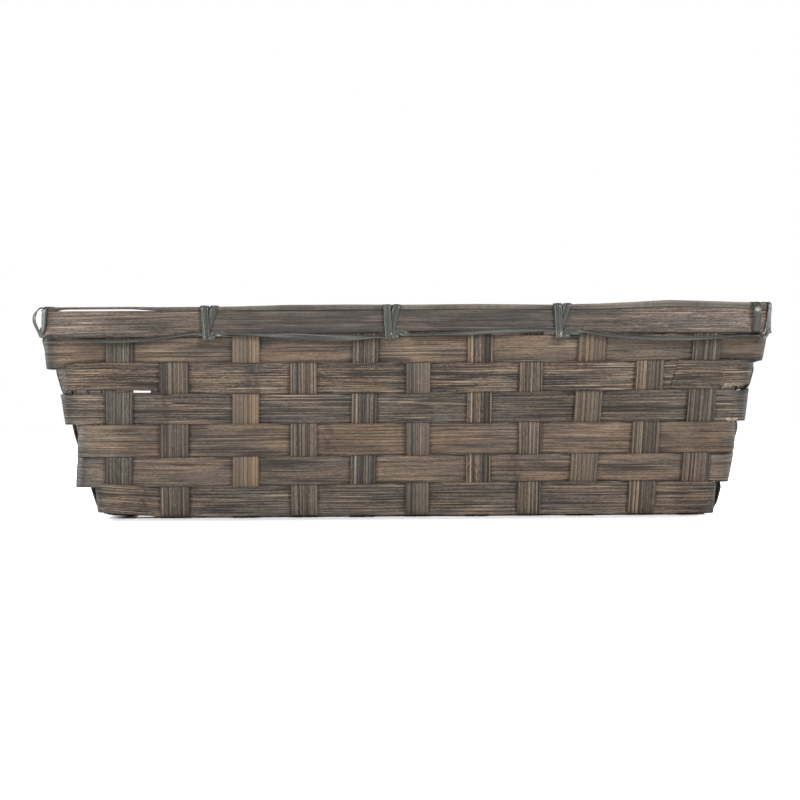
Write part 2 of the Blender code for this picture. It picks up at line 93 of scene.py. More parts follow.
CROSS_HARSHNESS = (1.0, 0.9, 0.5, 0.9, 1.0, 0.75, 1.15, 1.0, 0.75, 0.9, 0.95)
FOOT_TONE = -0.16

# How the real tray departs from the part's even lines. Front heights are given at places
# along X, and hoop, cap and strand heights are above the floor.
ROW_GAP = 0.0003
EDGE_PLACES = (-0.182, -0.170, -0.155, -0.085, 0.0, 0.085, 0.150, 0.180)
FRONT_EDGE_SHIFTS = (
    (0.0, 0.0, 0.0, 0.0, 0.0, 0.0, 0.0, 0.0),
    (-0.0015, -0.0014, -0.0012, -0.0010, 0.0003, 0.0008, 0.0004, -0.0010),
    (-0.0004, -0.0004, -0.0005, -0.0006, -0.0004, 0.0, 0.0, 0.0),
    (0.0, 0.0, 0.0, 0.0, 0.0, 0.0, -0.0002, -0.0003),
    (0.0008, 0.0014, 0.0016, 0.0002, -0.0002, 0.0006, 0.0012, 0.0018),
    (-0.0018, 0.0018, 0.0022, 0.0015, 0.0008, 0.0008, 0.0014, 0.0010),
    (0.0, 0.0, 0.0, 0.0, 0.0, 0.0, 0.0, 0.0),
)
# How far each row's top and bottom edge stand outwards where it turns the corners, at the
# front left, the front right and both back corners
CORNER_SHIFTS = (
    ((-0.0005, 0.0020), (0.0, 0.0025), (-0.0010, -0.0003)),
    ((0.0005, 0.0058), (0.0015, 0.0028), (-0.0005, 0.0010)),
    ((-0.0030, 0.0026), (-0.0002, 0.0033), (-0.0010, -0.0003)),
    ((-0.0014, 0.0008), (-0.0010, 0.0014), (-0.0005, 0.0010)),
    ((-0.0041, -0.0014), (-0.0006, 0.0001), (-0.0010, -0.0003)),
    ((-0.0023, 0.0007), (-0.0008, 0.0006), (-0.0005, 0.0010)),
)
CORNER_FADE_LONG = 0.002
CORNER_FADE_SHORT = 0.008
# Where a strip's bend at a corner carries painted shade and how far it reaches, as shares of half the turn,
# then where a painted highlight lies just before the bend and how far it reaches
BEND_MIDDLE_SHARE = 0.85
BEND_REACH_SHARE = 0.9
BEFORE_BEND_PLACE = 0.003
BEFORE_BEND_REACH = 0.008
# Gaps between two rows, and laps of less than none, as (edge, side, from, to, room below,
# room above)
SLITS = (
    (1, 0, -0.1080, -0.0890, 0.0006, 0.0004),
    (2, 0, -0.1400, -0.1290, 0.0004, 0.0003),
    (5, 0, -0.1900, -0.1760, -0.0034, 0.0),
    (4, 0, -0.1740, -0.1515, 0.0008, 0.0010),
    (4, 0, -0.1410, -0.1225, 0.0009, 0.0009),
    (4, 0, 0.1660, 0.1765, 0.0004, 0.0012),
    (4, 1, -0.1230, -0.1120, 0.0008, 0.0018),
    (4, 2, -0.1800, -0.1400, -0.0028, 0.0050),
    (4, 2, -0.1250, 0.1500, 0.0006, -0.0006),
)
# Where row 1 is split open along its lowest groove on the front, as (from, to)
SPLITS = ((-0.1550, -0.1360), (0.1380, 0.1540))
SPLIT_FADE = 0.003
SLIT_FADE = 0.004
# Where a row's lower edge is frayed to raw bamboo, as (row, side, from, to)
FRAYS = ((5, 0, 0.1660, 0.1735), (4, 0, 0.1680, 0.1735))
FRAY_FADE = 0.0015
FRAY_INSET = 0.0003
FRAY_BARE = 0.7  # fibres stand where a row is frayed by more than this
LAP_SLANT = 0.4
LAP_SLANT_START = 0.004
LAP_SLANT_REACH = 0.02
LEFT_NARROWING = 0.0025
NARROWING_START = 0.150
NARROWING_REACH = 0.04
CORNER_LIFT = 0.0036
LIFT_REACH = 0.034
LIFT_FADE_Z = 0.030
FLOOR_ROOM = 0.00013
FLOOR_ROOM_Z = 0.01
EDGE_WAVER = 0.0005
EDGE_WAVER_KNOTS = 11
EDGE_WAVER_MARGIN = 0.03
EDGE_SEED = 40
BOTTOM_DROP = 0.0019
# Each row's tone, greyness, harshness of grain and share of its length that is grooved
ROW_LOOKS = (
    (0.50, 0.5, 1.35, 0.6),
    (0.49, 0.35, 1.15, 0.45),
    (0.48, 0.25, 1.1, 0.45),
    (0.34, 0.65, 1.4, 0.8),
    (0.53, 0.4, 1.65, 0.7),
    (0.26, 0.3, 1.1, 0.3),
)
# Painted sheen where paler and painted shade where darker: what the left and right ends of each row's front
# add to its tone
FRONT_END_SHEEN_AND_SHADE = ((0.1, -0.7), (0.25, 0.3), (0.7, -0.5), (0.6, 0.1), (-0.1, -0.2), (0.35, -0.75))
FRONT_END_REACH = 0.016
FRONT_END_FADE = 0.012
KNOT_PLACE = -0.0785
KNOTTED_ROW = 5
KNOT_SPACING = 0.31
KNOT_REACH = 0.006
# Greyness added round the corners as a painted sheen
PAINTED_CORNER_SHEEN = 0.5
# Painted shade on each corner's bend and a painted highlight just before it, added to the tone
PAINTED_BEND_SHADE = -0.4
PAINTED_BEFORE_BEND_HIGHLIGHT = 0.18
# How far a stake swells outwards before a weaver and inwards behind one, and how far the first
# and the last long stake swell outwards at their left and right ends
STAKE_SWELL_OUT = 0.0006
STAKE_SWELL_IN = 0.0003
LEFT_SWELL = 0.0005
RIGHT_SWELL = 0.0017
SWELL_RAMP = 0.22
# How tone, greyness and edges drift along a piece, as (wavelength, amount)
ROW_TONE_DRIFT = (0.05, 0.12)
ROW_GREY_DRIFT = (0.07, 0.2)
STAKE_EDGE_DRIFT = (0.04, 0.00012)
STAKE_TONE_DRIFT = (0.05, 0.08)
STAKE_GREY_DRIFT = (0.06, 0.15)
HOOP_TONE_DRIFT = (0.06, 0.08)
HOOP_GREY_DRIFT = (0.05, 0.2)
CAP_TONE_DRIFT = (0.05, 0.15)
LASH_EDGE_DRIFT = (0.02, 0.0001)
LASH_TONE_DRIFT = (0.03, 0.12)
# Long stakes: mean and spread of tone and greyness, least and most harshness
LONG_TONE = (0.5, 0.1)
LONG_GREY = (0.5, 0.15)
LONG_HARSHNESS = (0.6, 1.1)
# The hoops along the front: place, underside, tone, greyness and harshness of grain
HOOP_LOOKS = (
    (-0.175, 0.0942, 1.2, 0.3, 1.3),
    (-0.150, 0.0942, 0.42, 0.3, 1.3),
    (-0.105, 0.0942, 0.28, 0.3, 1.3),
    (-0.095, 0.0950, -0.28, 0.9, 1.0),
    (-0.010, 0.0960, -0.40, 1.0, 1.0),
    (0.000, 0.0964, -0.1, 0.8, 1.0),
    (0.080, 0.0964, -0.08, 0.7, 1.0),
    (0.090, 0.0948, 0.22, 0.3, 1.4),
    (0.175, 0.0948, 1.45, 0.3, 1.4),
)
HOOP_PLACES, HOOP_BOTTOMS, HOOP_TONES, HOOP_GREYS, HOOP_HARSHNESS = zip(*HOOP_LOOKS)
# The same three looks on the other sides
HOOP_TONE, HOOP_GREY, HOOP_HARSH = 0.4, 0.5, 1.0
# The rim along the front: place, top of the hoops, underside and top of the cap
RIM_HEIGHTS = (
    (-0.185, 0.1081, 0.1078, 0.1101),
    (-0.176, 0.1081, 0.1090, 0.1101),
    (-0.140, 0.1081, 0.1090, 0.1101),
    (-0.125, 0.1079, 0.1078, 0.1098),
    (-0.085, 0.1079, 0.1078, 0.1099),
    (-0.060, 0.1078, 0.1077, 0.1105),
    (-0.030, 0.1079, 0.1078, 0.1105),
    (0.000, 0.1077, 0.1076, 0.1102),
    (0.036, 0.1078, 0.1077, 0.1103),
    (0.077, 0.1074, 0.1073, 0.1097),
    (0.100, 0.1074, 0.1073, 0.1101),
    (0.118, 0.1079, 0.1078, 0.1108),
    (0.136, 0.1084, 0.1083, 0.1117),
    (0.154, 0.1080, 0.1079, 0.1111),
    (0.169, 0.1077, 0.1076, 0.1105),
    (0.182, 0.1063, 0.1062, 0.1101),
)
CAP_PLACES, HOOP_TOPS, CAP_BASES, CAP_TOPS = zip(*RIM_HEIGHTS)
REST_MARGIN = 0.04  # what is given for the front fades this far round the corners
SCARF_LENGTH = 0.036
SCARF_TIP_SHARE = 0.04
# The lashing between two wraps. On the front its height and its tilt in degrees are given at
# these shares of the way.
RUN_SHARES = (0.08, 0.25, 0.5, 0.75, 0.97)
RUN_STEPS = 24
RUN_TURN = 35
FRONT_RUNS = (
    (0.0942, 0.0928, 0.0921, 0.0940, 0.0963),
    (0.0962, 0.0956, 0.0942, 0.0929, 0.0940),
    (0.0950, 0.0950, 0.0958, 0.0966, 0.0969),
    (0.0961, 0.0933, 0.0919, 0.0921, 0.0932),
)
FRONT_RUN_TURNS = ((80, 68, 60, 62, 55), (70, 68, 20, 30, 65), (72, 68, 50, 45, 55), (62, 50, 48, 50, 84))
# At each corner: how far the lashing sits from its middle, how far the upright band stands
# off, how far the other band slants, where the strand leaves, how far in under the hoops it
# stays at first, and the upright band's twist
CORNER_LASHINGS = (
    (-0.0016, 0.0018, 0.0026, 0.0050, 0.0026, 0),
    (0.0, 0.0020, 0.0016, 0.0030, 0.0026, 0),
    (0.0, 0.0024, 0.0016, 0.0030, 0.0026, 0),
    (-0.0040, 0.0030, 0.0008, 0.0010, 0.0, 28),
)
EMERGING_LENGTH = 0.010
EMERGING_DELAY = 0.2
EMERGING_SHARE = 0.02
TUCK_STOP_SHARE = 0.8
SAG_SHARE = 0.4
BULGE_STEPS = 7
BULGE_LIFT = 1.45
BAND_DROP = 0.0030
BAND_LEAN = 0.0008
KNUCKLE_DROP = 0.0030
KNUCKLE_SHIFT = 0.0023
KNUCKLE_REACH = 0.0020

# How often a strip's unevenness changes, per metre along it and across its width
DRIFT_RATES = (9.0, 2.5)
RAG_RATES = (260.0, 5.0)
RIPPLE_RATES = (35.0, 6.0)
GROOVE_RATE = 7.3
GROOVE_FADE = 0.06
RAG_SHARPNESS = 8.0
KNOT_SHARPNESS = 4.0
SPLIT_DEPTH = 2.0
# A loose fibre, in its own lengths
FIBRE_BOW = ((-0.5, 0, 0), (0, -0.12, 0), (0.5, -0.08, -0.2))
FIBRE_RADIUS = 0.045

# Streaks in the bamboo: changes per metre along and across, layer of the noise, its detail
# and its roughness
COARSE_STREAKS = (18.0, 850.0, 1.7, 1.0)
FINE_STREAKS = (50.0, 2400.0, 4.1, 3.0, 0.65)
RIDGE_STREAKS = (8.0, 760.0, 8.3, 1.0)
LINE_STREAKS = (30.0, 260.0, 2.9)
SCRATCH_STREAKS = (28.0, 1500.0, 6.6, 3.0, 0.6)
STAIN_STREAKS = (26.0, 110.0, 3.3, 4.0, 0.6)
FLAT_LAYER = 5.2
GRAIN_RATES = (420.0, 3000.0, 1.0)
SPECKLE_RATES = (900.0, 1600.0, 1.0)
SMUDGE_RATE = 330.0
COARSE_SHARE = 0.25
GRAIN_DEPTH = 3.8
SPECKLE_DEPTH = 1.6
LINE_DEPTH = 1.3
RELIEF_HEIGHT = 0.0004

CAMERA_PLACE = (-0.0023, -1.335, 0.0614)
CAMERA_PITCH = 90
CAMERA_ROLL = 0.4
CAMERA_LENS = 105.3
LIT_POINT = (0, 0, 0.05)
# Each light's place, width and height, and power
LIGHTS = {
    "key": ((1.15, -1.65, 0.8), (0.6, 0.6), 25),
    "front_left": ((-1.0, -1.6, 0.5), (0.4, 0.9), 12),
    "top": ((0, -0.4, 2.0), (1.5, 1.0), 9),
    "back": ((0, 1.8, 1.2), (1.5, 0.8), 28),
    "side_left": ((-1.8, 0.5, 0.4), (0.5, 0.5), 9),
    "side_right": ((1.8, 0.5, 0.4), (0.5, 0.5), 7),
}
SKY_LEVEL = 0.29
FLOOR_REACH = 4.0
FLOOR_GREY = 0.8
FLOOR_WHITE = 1.25
# Where the floor turns from shadow to white, from the foot's edge, along and across
SHADOW_ENDS = ((-0.012, 0.004), (0.015, 0.085))

# Fineness
WEAVER_STEP = 0.0014
STAKE_STEP = 0.0016
STAKE_FINE_STEP = 0.0004
STAKE_SOFTENING = 4
WALL_STEPS = 120
RIM_STEP = 0.0016
LASH_STEP = 0.0006
CREASE_STEPS = 6
TURN_STEPS = 6

WEAVE_REACH = STAKE_THICKNESS / 2 + STRIP_GAP + WEAVER_THICKNESS / 2
LAP_RISE = WEAVER_THICKNESS + STRIP_GAP
BASE_REACH = (STAKE_THICKNESS + STRIP_GAP) / 2
BASE_MIDDLE_Z = STAKE_THICKNESS / 2 + BASE_REACH
HOOP_MIDDLE = STAKE_THICKNESS / 2 + STRIP_GAP + HOOP_THICKNESS / 2
RIM_FACE = HOOP_MIDDLE + HOOP_THICKNESS / 2
LASH_LIFT = STRIP_GAP + LASH_THICKNESS / 2
CAP_BOTTOM_Z = TRAY_HEIGHT - CAP_HEIGHT
HOOP_TOP_Z = CAP_BOTTOM_Z - STRIP_GAP
HOOP_BOTTOM_Z = HOOP_TOP_Z - HOOP_WIDTH
ROWS_TOP_Z = HOOP_BOTTOM_Z - LASH_THICKNESS - 2 * STRIP_GAP
CREASE_TANGENT = CREASE_RADIUS * math.tan((math.pi / 2 - WALL_LEAN) / 2)
ROWS_BOTTOM_Z = BASE_MIDDLE_Z + CREASE_TANGENT * math.cos(WALL_LEAN)
ROW_EDGES_Z = [ROWS_BOTTOM_Z + (ROWS_TOP_Z - ROWS_BOTTOM_Z) * share for share in ROW_EDGE_SHARES]
ROW_COUNT = len(ROW_EDGE_SHARES) - 1
FRONT, RIGHT, BACK, LEFT = range(4)


def wall_spread(z):
    return (min(z, ROWS_TOP_Z) - BASE_MIDDLE_Z) * math.tan(WALL_LEAN)


RIM_HALF_LENGTH = RIM_LENGTH / 2 - RIM_FACE
RIM_HALF_WIDTH = RIM_WIDTH / 2 - RIM_FACE
BASE_HALF_LENGTH = RIM_HALF_LENGTH - wall_spread(TRAY_HEIGHT)
BASE_HALF_WIDTH = RIM_HALF_WIDTH - wall_spread(TRAY_HEIGHT)
BOTTOM_ROW_SPREAD = wall_spread((ROW_EDGES_Z[0] + ROW_EDGES_Z[1]) / 2)
FOOT_MARGIN = FOOT_CORNER_RADIUS + STAKE_WIDTH / 2 + FLAT_MARGIN - BOTTOM_ROW_SPREAD


def cross_stake_x(index, z, side):
    foot = CROSS_FOOT_SHARES[index] * (BASE_HALF_LENGTH - FOOT_MARGIN)
    head = CROSS_HEAD_SHARES[index] * RIM_HALF_LENGTH
    return foot + (head - foot) * z / TRAY_HEIGHT if side == FRONT else foot


def cross_stake_width(index):
    return STAKE_WIDTH * CROSS_WIDTH_SHARES[index]


def long_stake_y(index):
    return LONG_FOOT_SHARES[index] * (BASE_HALF_WIDTH - FOOT_MARGIN)


def long_stake_width(index):
    return STAKE_WIDTH * LONG_WIDTH_SHARES[index]


def ease(share):
    share = np.clip(share, 0.0, 1.0)
    return share * share * (3 - 2 * share)


class WallLoop:
    """A rounded rectangle round the tray, anticlockwise from the front's left end."""

    def __init__(self, half_length, half_width, radius=CORNER_RADIUS):
        self.radius = radius
        self.straights = (half_length - radius, half_width - radius) * 2
        self.arc = radius * math.pi / 2
        self.length = 2 * sum(self.straights) + 4 * self.arc

    def side_start(self, side):
        return 2 * sum(self.straights[:side]) + side * self.arc

    def travel(self, side, place):
        forwards = place if side in (FRONT, RIGHT) else -place
        return self.side_start(side) + self.straights[side] + forwards

    def corner(self, side):
        start = self.side_start(side) + 2 * self.straights[side]
        return start, start + self.arc

    def at(self, travel, out=0.0):
        travel %= self.length
        side = FRONT
        while side < LEFT and travel >= self.side_start(side + 1):
            side += 1
        along = travel - self.side_start(side)
        turned = max(0.0, along - 2 * self.straights[side]) / self.radius
        heading = side * math.pi / 2
        outward = Vector((math.sin(heading + turned), -math.cos(heading + turned), 0))
        forwards = Vector((math.cos(heading), math.sin(heading), 0))
        sideways = Vector((math.sin(heading), -math.cos(heading), 0))
        ahead = min(along, 2 * self.straights[side]) - self.straights[side]
        point = forwards * ahead + sideways * self.straights[(side + 1) % 4]
        return point + outward * (self.radius + out), outward


def row_crossings(loop, row, z):
    """Each stake that a weaver passes: (distance round, flat half length, +1 outside or -1)."""
    found = []
    for side in (FRONT, RIGHT, BACK, LEFT):
        crossways = side in (FRONT, BACK)
        indexes = range(len(CROSS_FOOT_SHARES if crossways else LONG_FOOT_SHARES))
        for index in indexes if side in (FRONT, RIGHT) else reversed(indexes):
            place = cross_stake_x(index, z, side) if crossways else long_stake_y(index)
            width = cross_stake_width(index) if crossways else long_stake_width(index)
            outside = (index + row) % 2 == (1 if crossways else 0)
            found.append((loop.travel(side, place), width / 2 + FLAT_MARGIN, 1 if outside else -1))
    return found


def weaver_flats(loop, row, z):
    """Stretches that lie flat on a stake, as (start, end, offset), with both layers of the lap."""
    crossings = row_crossings(loop, row, z)
    count = len(crossings)
    first = LAP_STARTS[row - 1]
    flats = []
    for step in range(first, first + count + LAP_CROSSINGS):
        travel, flat, side = crossings[step % count]
        travel += step // count * loop.length
        offset = side * WEAVE_REACH
        if step < first + LAP_CROSSINGS and side < 0:
            offset -= LAP_RISE
        if step >= first + count and side > 0:
            offset += LAP_RISE
        flats.append((travel - flat, travel + flat, offset))
    return flats


def offsets_along(loop, flats, travels):
    """A weaver's offset at each distance round. Between flats it swings over, inside the corner
    where there is one. Its two free ends lie against the layer that they lap."""
    corners = [(edge[0] + turn * loop.length, edge[1] + turn * loop.length)
               for turn in range(3) for edge in (loop.corner(side) for side in range(4))]
    result = np.zeros(len(travels))
    for flat, after in zip(flats, flats[1:]):
        start, end = flat[1], after[0]
        for corner_start, corner_end in corners:
            if corner_end > start and corner_start < end:
                start, end = max(start, corner_start), min(end, corner_end)
        here = (travels >= flat[0]) & (travels <= after[1])
        swing = ease((travels[here] - start) / (end - start))
        result[here] = flat[2] + (after[2] - flat[2]) * swing
    head, tail = travels < flats[0][0], travels > flats[-1][1]
    if head.any():
        result[head] = offsets_along(loop, flats, travels[head] + loop.length) - LAP_RISE
    if tail.any():
        result[tail] = offsets_along(loop, flats, travels[tail] - loop.length) + LAP_RISE
    return result


def wander(along, wavelength, amount, draw):
    """Smooth random drift along a strip: chance values a wavelength apart, eased between."""
    first = along.min()
    knots = draw.normal(0, amount, int((along.max() - first) / wavelength) + 3)
    place = (along - first) / wavelength
    below = place.astype(int)
    return knots[below] + (knots[below + 1] - knots[below]) * ease(place - below)


def unit(rows):
    return rows / np.linalg.norm(rows, axis=1, keepdims=True)


def lengths_along(points):
    return np.concatenate(([0.0], np.cumsum(np.linalg.norm(np.diff(points, axis=0), axis=1))))


def resample(points, step, *others):
    """The same line with even steps, and other values carried over to it."""
    along = lengths_along(points)
    places = np.linspace(0, along[-1], int(along[-1] / step) + 1)
    return [np.stack([np.interp(places, along, row) for row in np.asarray(values).T], axis=1)
            for values in (points, *others)]


def soften(rows, reach):
    """Rounds a line's bends by averaging each point with its neighbours. The ends stay."""
    share = np.arange(-reach, reach + 1) / (reach + 1)
    weights = 1 - share * share
    weights /= weights.sum()
    padded = np.concatenate([2 * rows[0] - rows[reach:0:-1], rows, 2 * rows[-1] - rows[-2:-reach - 2:-1]])
    return np.stack([np.convolve(column, weights, "valid") for column in padded.T], axis=1)


class Wire:
    """What comes out of a node. A sum or product of wires adds the math node for it."""

    def __init__(self, tree, socket):
        self.tree = tree
        self.socket = socket

    def __add__(self, other):
        return calc(self.tree, "ADD", self, other)

    def __sub__(self, other):
        return calc(self.tree, "SUBTRACT", self, other)

    def __rsub__(self, other):
        return calc(self.tree, "SUBTRACT", other, self)

    def __mul__(self, other):
        return calc(self.tree, "MULTIPLY", self, other)

    def __pow__(self, other):
        return calc(self.tree, "POWER", self, other)

    def __gt__(self, other):
        return calc(self.tree, "GREATER_THAN", self, other)

    def __abs__(self):
        return calc(self.tree, "ABSOLUTE", self)

    def clamped(self):
        """The same wire, held between 0 and 1 by the math node that it comes out of."""
        self.socket.node.use_clamp = True
        return self

    def to(self, socket):
        self.tree.links.new(self.socket, socket)


def add(tree, kind, *values, output=0, **settings):
    """Adds a node, its settings given by name and its inputs in order. Gives one wire out."""
    node = tree.nodes.new(kind)
    for name, setting in settings.items():
        setattr(node, name, setting)
    sockets = [socket for socket in node.inputs if socket.enabled]
    for socket, value in zip(sockets, values):
        if isinstance(value, Wire):
            value.to(socket)
        elif value is not None:
            socket.default_value = value
    outputs = [socket for socket in node.outputs if socket.enabled]
    return Wire(tree, outputs[output]) if outputs else None


def wires(tree, node):
    """Every wire out of a node, by its socket's name."""
    return {socket.name: Wire(tree, socket) for socket in node.outputs}


def calc(tree, operation, *values):
    return add(tree, "ShaderNodeMath", *values, operation=operation)


def vector_calc(tree, operation, *values):
    return add(tree, "ShaderNodeVectorMath", *values, operation=operation)


def combine(tree, x, y, z=0.0):
    return add(tree, "ShaderNodeCombineXYZ", x, y, z)


def noise(tree, place, detail=1.0, rough=0.5, scale=1.0):
    return add(tree, "ShaderNodeTexNoise", place, scale, detail, rough)


def remap(tree, value, low, high, to_low=0.0, to_high=1.0, kind="SMOOTHSTEP"):
    return add(tree, "ShaderNodeMapRange", value, low, high, to_low, to_high, interpolation_type=kind)


def named(tree, kind, *names):
    return [add(tree, "GeometryNodeInputNamedAttribute", name, data_type=kind) for name in names]


def store(tree, geometry, name, value, **settings):
    return add(tree, "GeometryNodeStoreNamedAttribute", geometry, True, name, value, **settings)


def socket_in(tree, name, kind, value=None):
    socket = tree.interface.new_socket(name, in_out="INPUT", socket_type=f"NodeSocket{kind}")
    if value is not None:
        socket.default_value = value


def geometry_tree(name, *inputs):
    """A tree with geometry in and out, and further inputs as (name, kind, value)."""
    tree = bpy.data.node_groups.new(name, "GeometryNodeTree")
    for in_out in ("INPUT", "OUTPUT"):
        tree.interface.new_socket("Geometry", in_out=in_out, socket_type="NodeSocketGeometry")
    for given in inputs:
        socket_in(tree, *given)
    return tree


def finish_tree(tree, geometry, material):
    """Ends a tree with plain smooth geometry in one material."""
    smooth = add(tree, "GeometryNodeSetShadeSmooth", geometry, True, True)
    solid = add(tree, "GeometryNodeRealizeInstances", smooth)
    add(tree, "NodeGroupOutput", add(tree, "GeometryNodeSetMaterial", solid, True, material))


def make_strip_tree():
    """Draws a section along a spine and lays every point by what spine and section say there:
    the ragged long edges, the wandering grooves, the arch of the face and its ripples."""
    tree = geometry_tree(
        "woven_strip", ("Section", "Object"), ("Thickness", "Float", 0.001),
        ("Groove Depth", "Float", 0.0002), ("Groove Reach", "Float", 8.0), ("Groove Share", "Float", 0.5),
        ("Drift", "Float", 0.04), ("Rag", "Float", 0.0002), ("Ripple", "Float", 0.0001),
        ("Knot Height", "Float", 0.0002), ("Seed", "Float", 0.0), ("Material", "Material"))
    given = wires(tree, tree.nodes.new("NodeGroupInput"))
    along, share, side, groove, low, high, crown, body, split, knot = named(
        tree, "FLOAT", "along", "share", "side", "groove", "low", "high", "crown", "body", "split", "knot")
    spine, across, out, slant = named(tree, "FLOAT_VECTOR", "spine", "across", "out", "slant")

    def uneven(rates, *settings):
        place = combine(tree, along * rates[0], share * rates[1], given["Seed"])
        return noise(tree, place, *settings) - 0.5

    profile = add(tree, "GeometryNodeObjectInfo", given["Section"], output=4)
    line = add(tree, "GeometryNodeMeshToCurve", given["Geometry"])
    ring = add(tree, "GeometryNodeMeshToCurve", profile)
    skin = add(tree, "GeometryNodeCurveToMesh", line, ring, None, True)

    hump = share * (1.0 - share) * 4.0
    moved = uneven(DRIFT_RATES) * given["Drift"] * hump + share
    rag = uneven(RAG_RATES, 3.0, 0.65) * given["Rag"] * (1.0 - hump) ** RAG_SHARPNESS
    sideways = (high - low) * moved + low + rag

    reach_place = combine(tree, along * given["Groove Reach"], groove * GROOVE_RATE, given["Seed"])
    threshold = 1.0 - given["Groove Share"]
    open_here = remap(tree, noise(tree, reach_place), threshold - GROOVE_FADE, threshold + GROOVE_FADE)
    lowest = calc(tree, "COMPARE", groove, 1.0, 0.1) * (side > 0.0)
    cut = lowest * split * SPLIT_DEPTH + open_here * (groove > 0.5)
    half = given["Thickness"] * 0.5 * body - cut * given["Groove Depth"]
    ripple = uneven(RIPPLE_RATES, 2.0) * given["Ripple"]
    lift = side * half + crown * hump + (knot ** KNOT_SHARPNESS * given["Knot Height"] + ripple)

    place = spine
    for way, distance in ((across, sideways), (slant, sideways), (out, lift)):
        place = vector_calc(tree, "ADD", place, vector_calc(tree, "SCALE", way, distance))
    chart = combine(tree, along + given["Seed"], sideways)
    kept = store(tree, skin, "UVMap", chart, data_type="FLOAT2", domain="CORNER")
    kept = store(tree, kept, "cut", cut)
    finish_tree(tree, add(tree, "GeometryNodeSetPosition", kept, True, place), given["Material"])
    return tree


def make_fibre_tree():
    """Puts a thin bowed fibre of raw bamboo on every point, each with its own slant and length."""
    tree = geometry_tree(
        "loose_fibres", ("Shortest", "Float", 0.001), ("Longest", "Float", 0.004), ("Slant", "Float", 0.3),
        ("Seed", "Int", 1), ("Material", "Material"))
    given = wires(tree, tree.nodes.new("NodeGroupInput"))
    bow = add(tree, "GeometryNodeCurveQuadraticBezier", 6, *FIBRE_BOW)
    ring = add(tree, "GeometryNodeCurvePrimitiveCircle", 5, FIBRE_RADIUS)
    fibre = add(tree, "GeometryNodeCurveToMesh", bow, ring, None, True)
    most = combine(tree, given["Slant"], given["Slant"], given["Slant"])
    least = vector_calc(tree, "SCALE", most, -1.0)
    turn = add(tree, "FunctionNodeRandomValue", least, most, None, given["Seed"], data_type="FLOAT_VECTOR")
    size = add(tree, "FunctionNodeRandomValue", given["Shortest"], given["Longest"], None, given["Seed"])
    laid = add(tree, "GeometryNodeInstanceOnPoints", given["Geometry"], True, fibre, None, None, turn, size)
    laid = add(tree, "GeometryNodeRealizeInstances", laid)
    for name, value in (("raw", 1.0), ("tone", 0.6), ("share", 0.05)):
        laid = store(tree, laid, name, value)
    finish_tree(tree, laid, given["Material"])
    return tree


def grow(piece, tree, **settings):
    """Runs a node tree on a piece and keeps only the plain mesh that it makes."""
    modifier = piece.modifiers.new("Grow", "NODES")
    modifier.node_group = tree
    for item in tree.interface.items_tree:
        key = item.name.lower().replace(" ", "_")
        if item.in_out == "INPUT" and key in settings:
            modifier[item.identifier] = settings[key]
    graph = bpy.context.evaluated_depsgraph_get()
    mesh = bpy.data.meshes.new_from_object(piece.evaluated_get(graph), depsgraph=graph)
    piece.modifiers.remove(modifier)
    piece.data = mesh
    for name in ("along", "side", "groove", "low", "high", "crown", "body", "split",
                 "spine", "across", "out", "slant"):
        if name in mesh.attributes:
            mesh.attributes.remove(mesh.attributes[name])


def new_object(name, data):
    made = bpy.data.objects.new(name, data)
    bpy.context.scene.collection.objects.link(made)
    return made


def put(mesh, name, kind, rows):
    field = "vector" if kind == "FLOAT_VECTOR" else "value"
    mesh.attributes.new(name, kind, "POINT").data.foreach_set(field, np.asarray(rows, dtype=float).ravel())


def make_section(name, outer, inner, rounding=0.03, lip=0.02):
    """A loop of points round a strip's section. Each point knows its share of the width, its side
    (+1 on the outer face, -1 on the inner, 0 on an edge) and the number of its groove."""
    loop = []
    for side, grooves in ((1, outer), (-1, inner)):
        face = [(rounding * 0.3, 0.7 * side, 0), (rounding, side, 0)]
        for number, place in enumerate(grooves, 1):
            face += [(place - lip, side, 0), (place, side, number), (place + lip, side, 0)]
        face += [(1 - rounding, side, 0), (1 - rounding * 0.3, 0.7 * side, 0)]
        loop += [(0, 0, 0), *face] if side > 0 else [(1, 0, 0), *reversed(face)]
    mesh = bpy.data.meshes.new(name)
    count = len(loop)
    mesh.from_pydata([(share, side * 0.1, 0) for share, side, _ in loop],
                     [(i, (i + 1) % count) for i in range(count)], [])
    for key, rows in zip(("share", "side", "groove"), zip(*loop)):
        put(mesh, key, "FLOAT", rows)
    section = new_object(name, mesh)
    section.hide_render = True
    return section


def make_strip(name, points, across, low, high, section, material, seed, crown=0.0, body=1.0,
               split=0.0, slant=0.0, tone=0.5, grey=0.5, harsh=1.0, knot=0.0, raw=0.0, **settings):
    """One strip of bamboo along a line of points. It stands for the CAD node of its name."""
    ways = unit(np.gradient(points, axis=0))
    across = unit(across - ways * np.sum(across * ways, axis=1, keepdims=True))
    count = len(points)
    mesh = bpy.data.meshes.new(name)
    mesh.from_pydata(points.tolist(), [(i, i + 1) for i in range(count - 1)], [])
    scalars = {"along": lengths_along(points), "low": low, "high": high, "crown": crown, "body": body,
               "split": split, "tone": tone, "grey": grey, "harsh": harsh, "knot": knot, "raw": raw}
    for key, rows in scalars.items():
        put(mesh, key, "FLOAT", np.broadcast_to(rows, count))
    leaning = ways * np.broadcast_to(slant, count)[:, None]
    vectors = {"spine": points, "across": across, "out": unit(np.cross(ways, across)), "slant": leaning}
    for key, rows in vectors.items():
        put(mesh, key, "FLOAT_VECTOR", rows)
    strip = new_object(f"{name}_strip", mesh)
    grow(strip, strip_tree, section=section, material=material, seed=seed, **settings)
    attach(strip, "root")
    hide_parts(name)


def fray(name, points, material, **settings):
    """Loose fibres of raw bamboo along the frayed edge of a strip."""
    mesh = bpy.data.meshes.new(name)
    mesh.from_pydata(points.tolist(), [], [])
    fibres = new_object(name, mesh)
    grow(fibres, fibre_curves_tree, material=material, **settings)
    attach(fibres, "root")


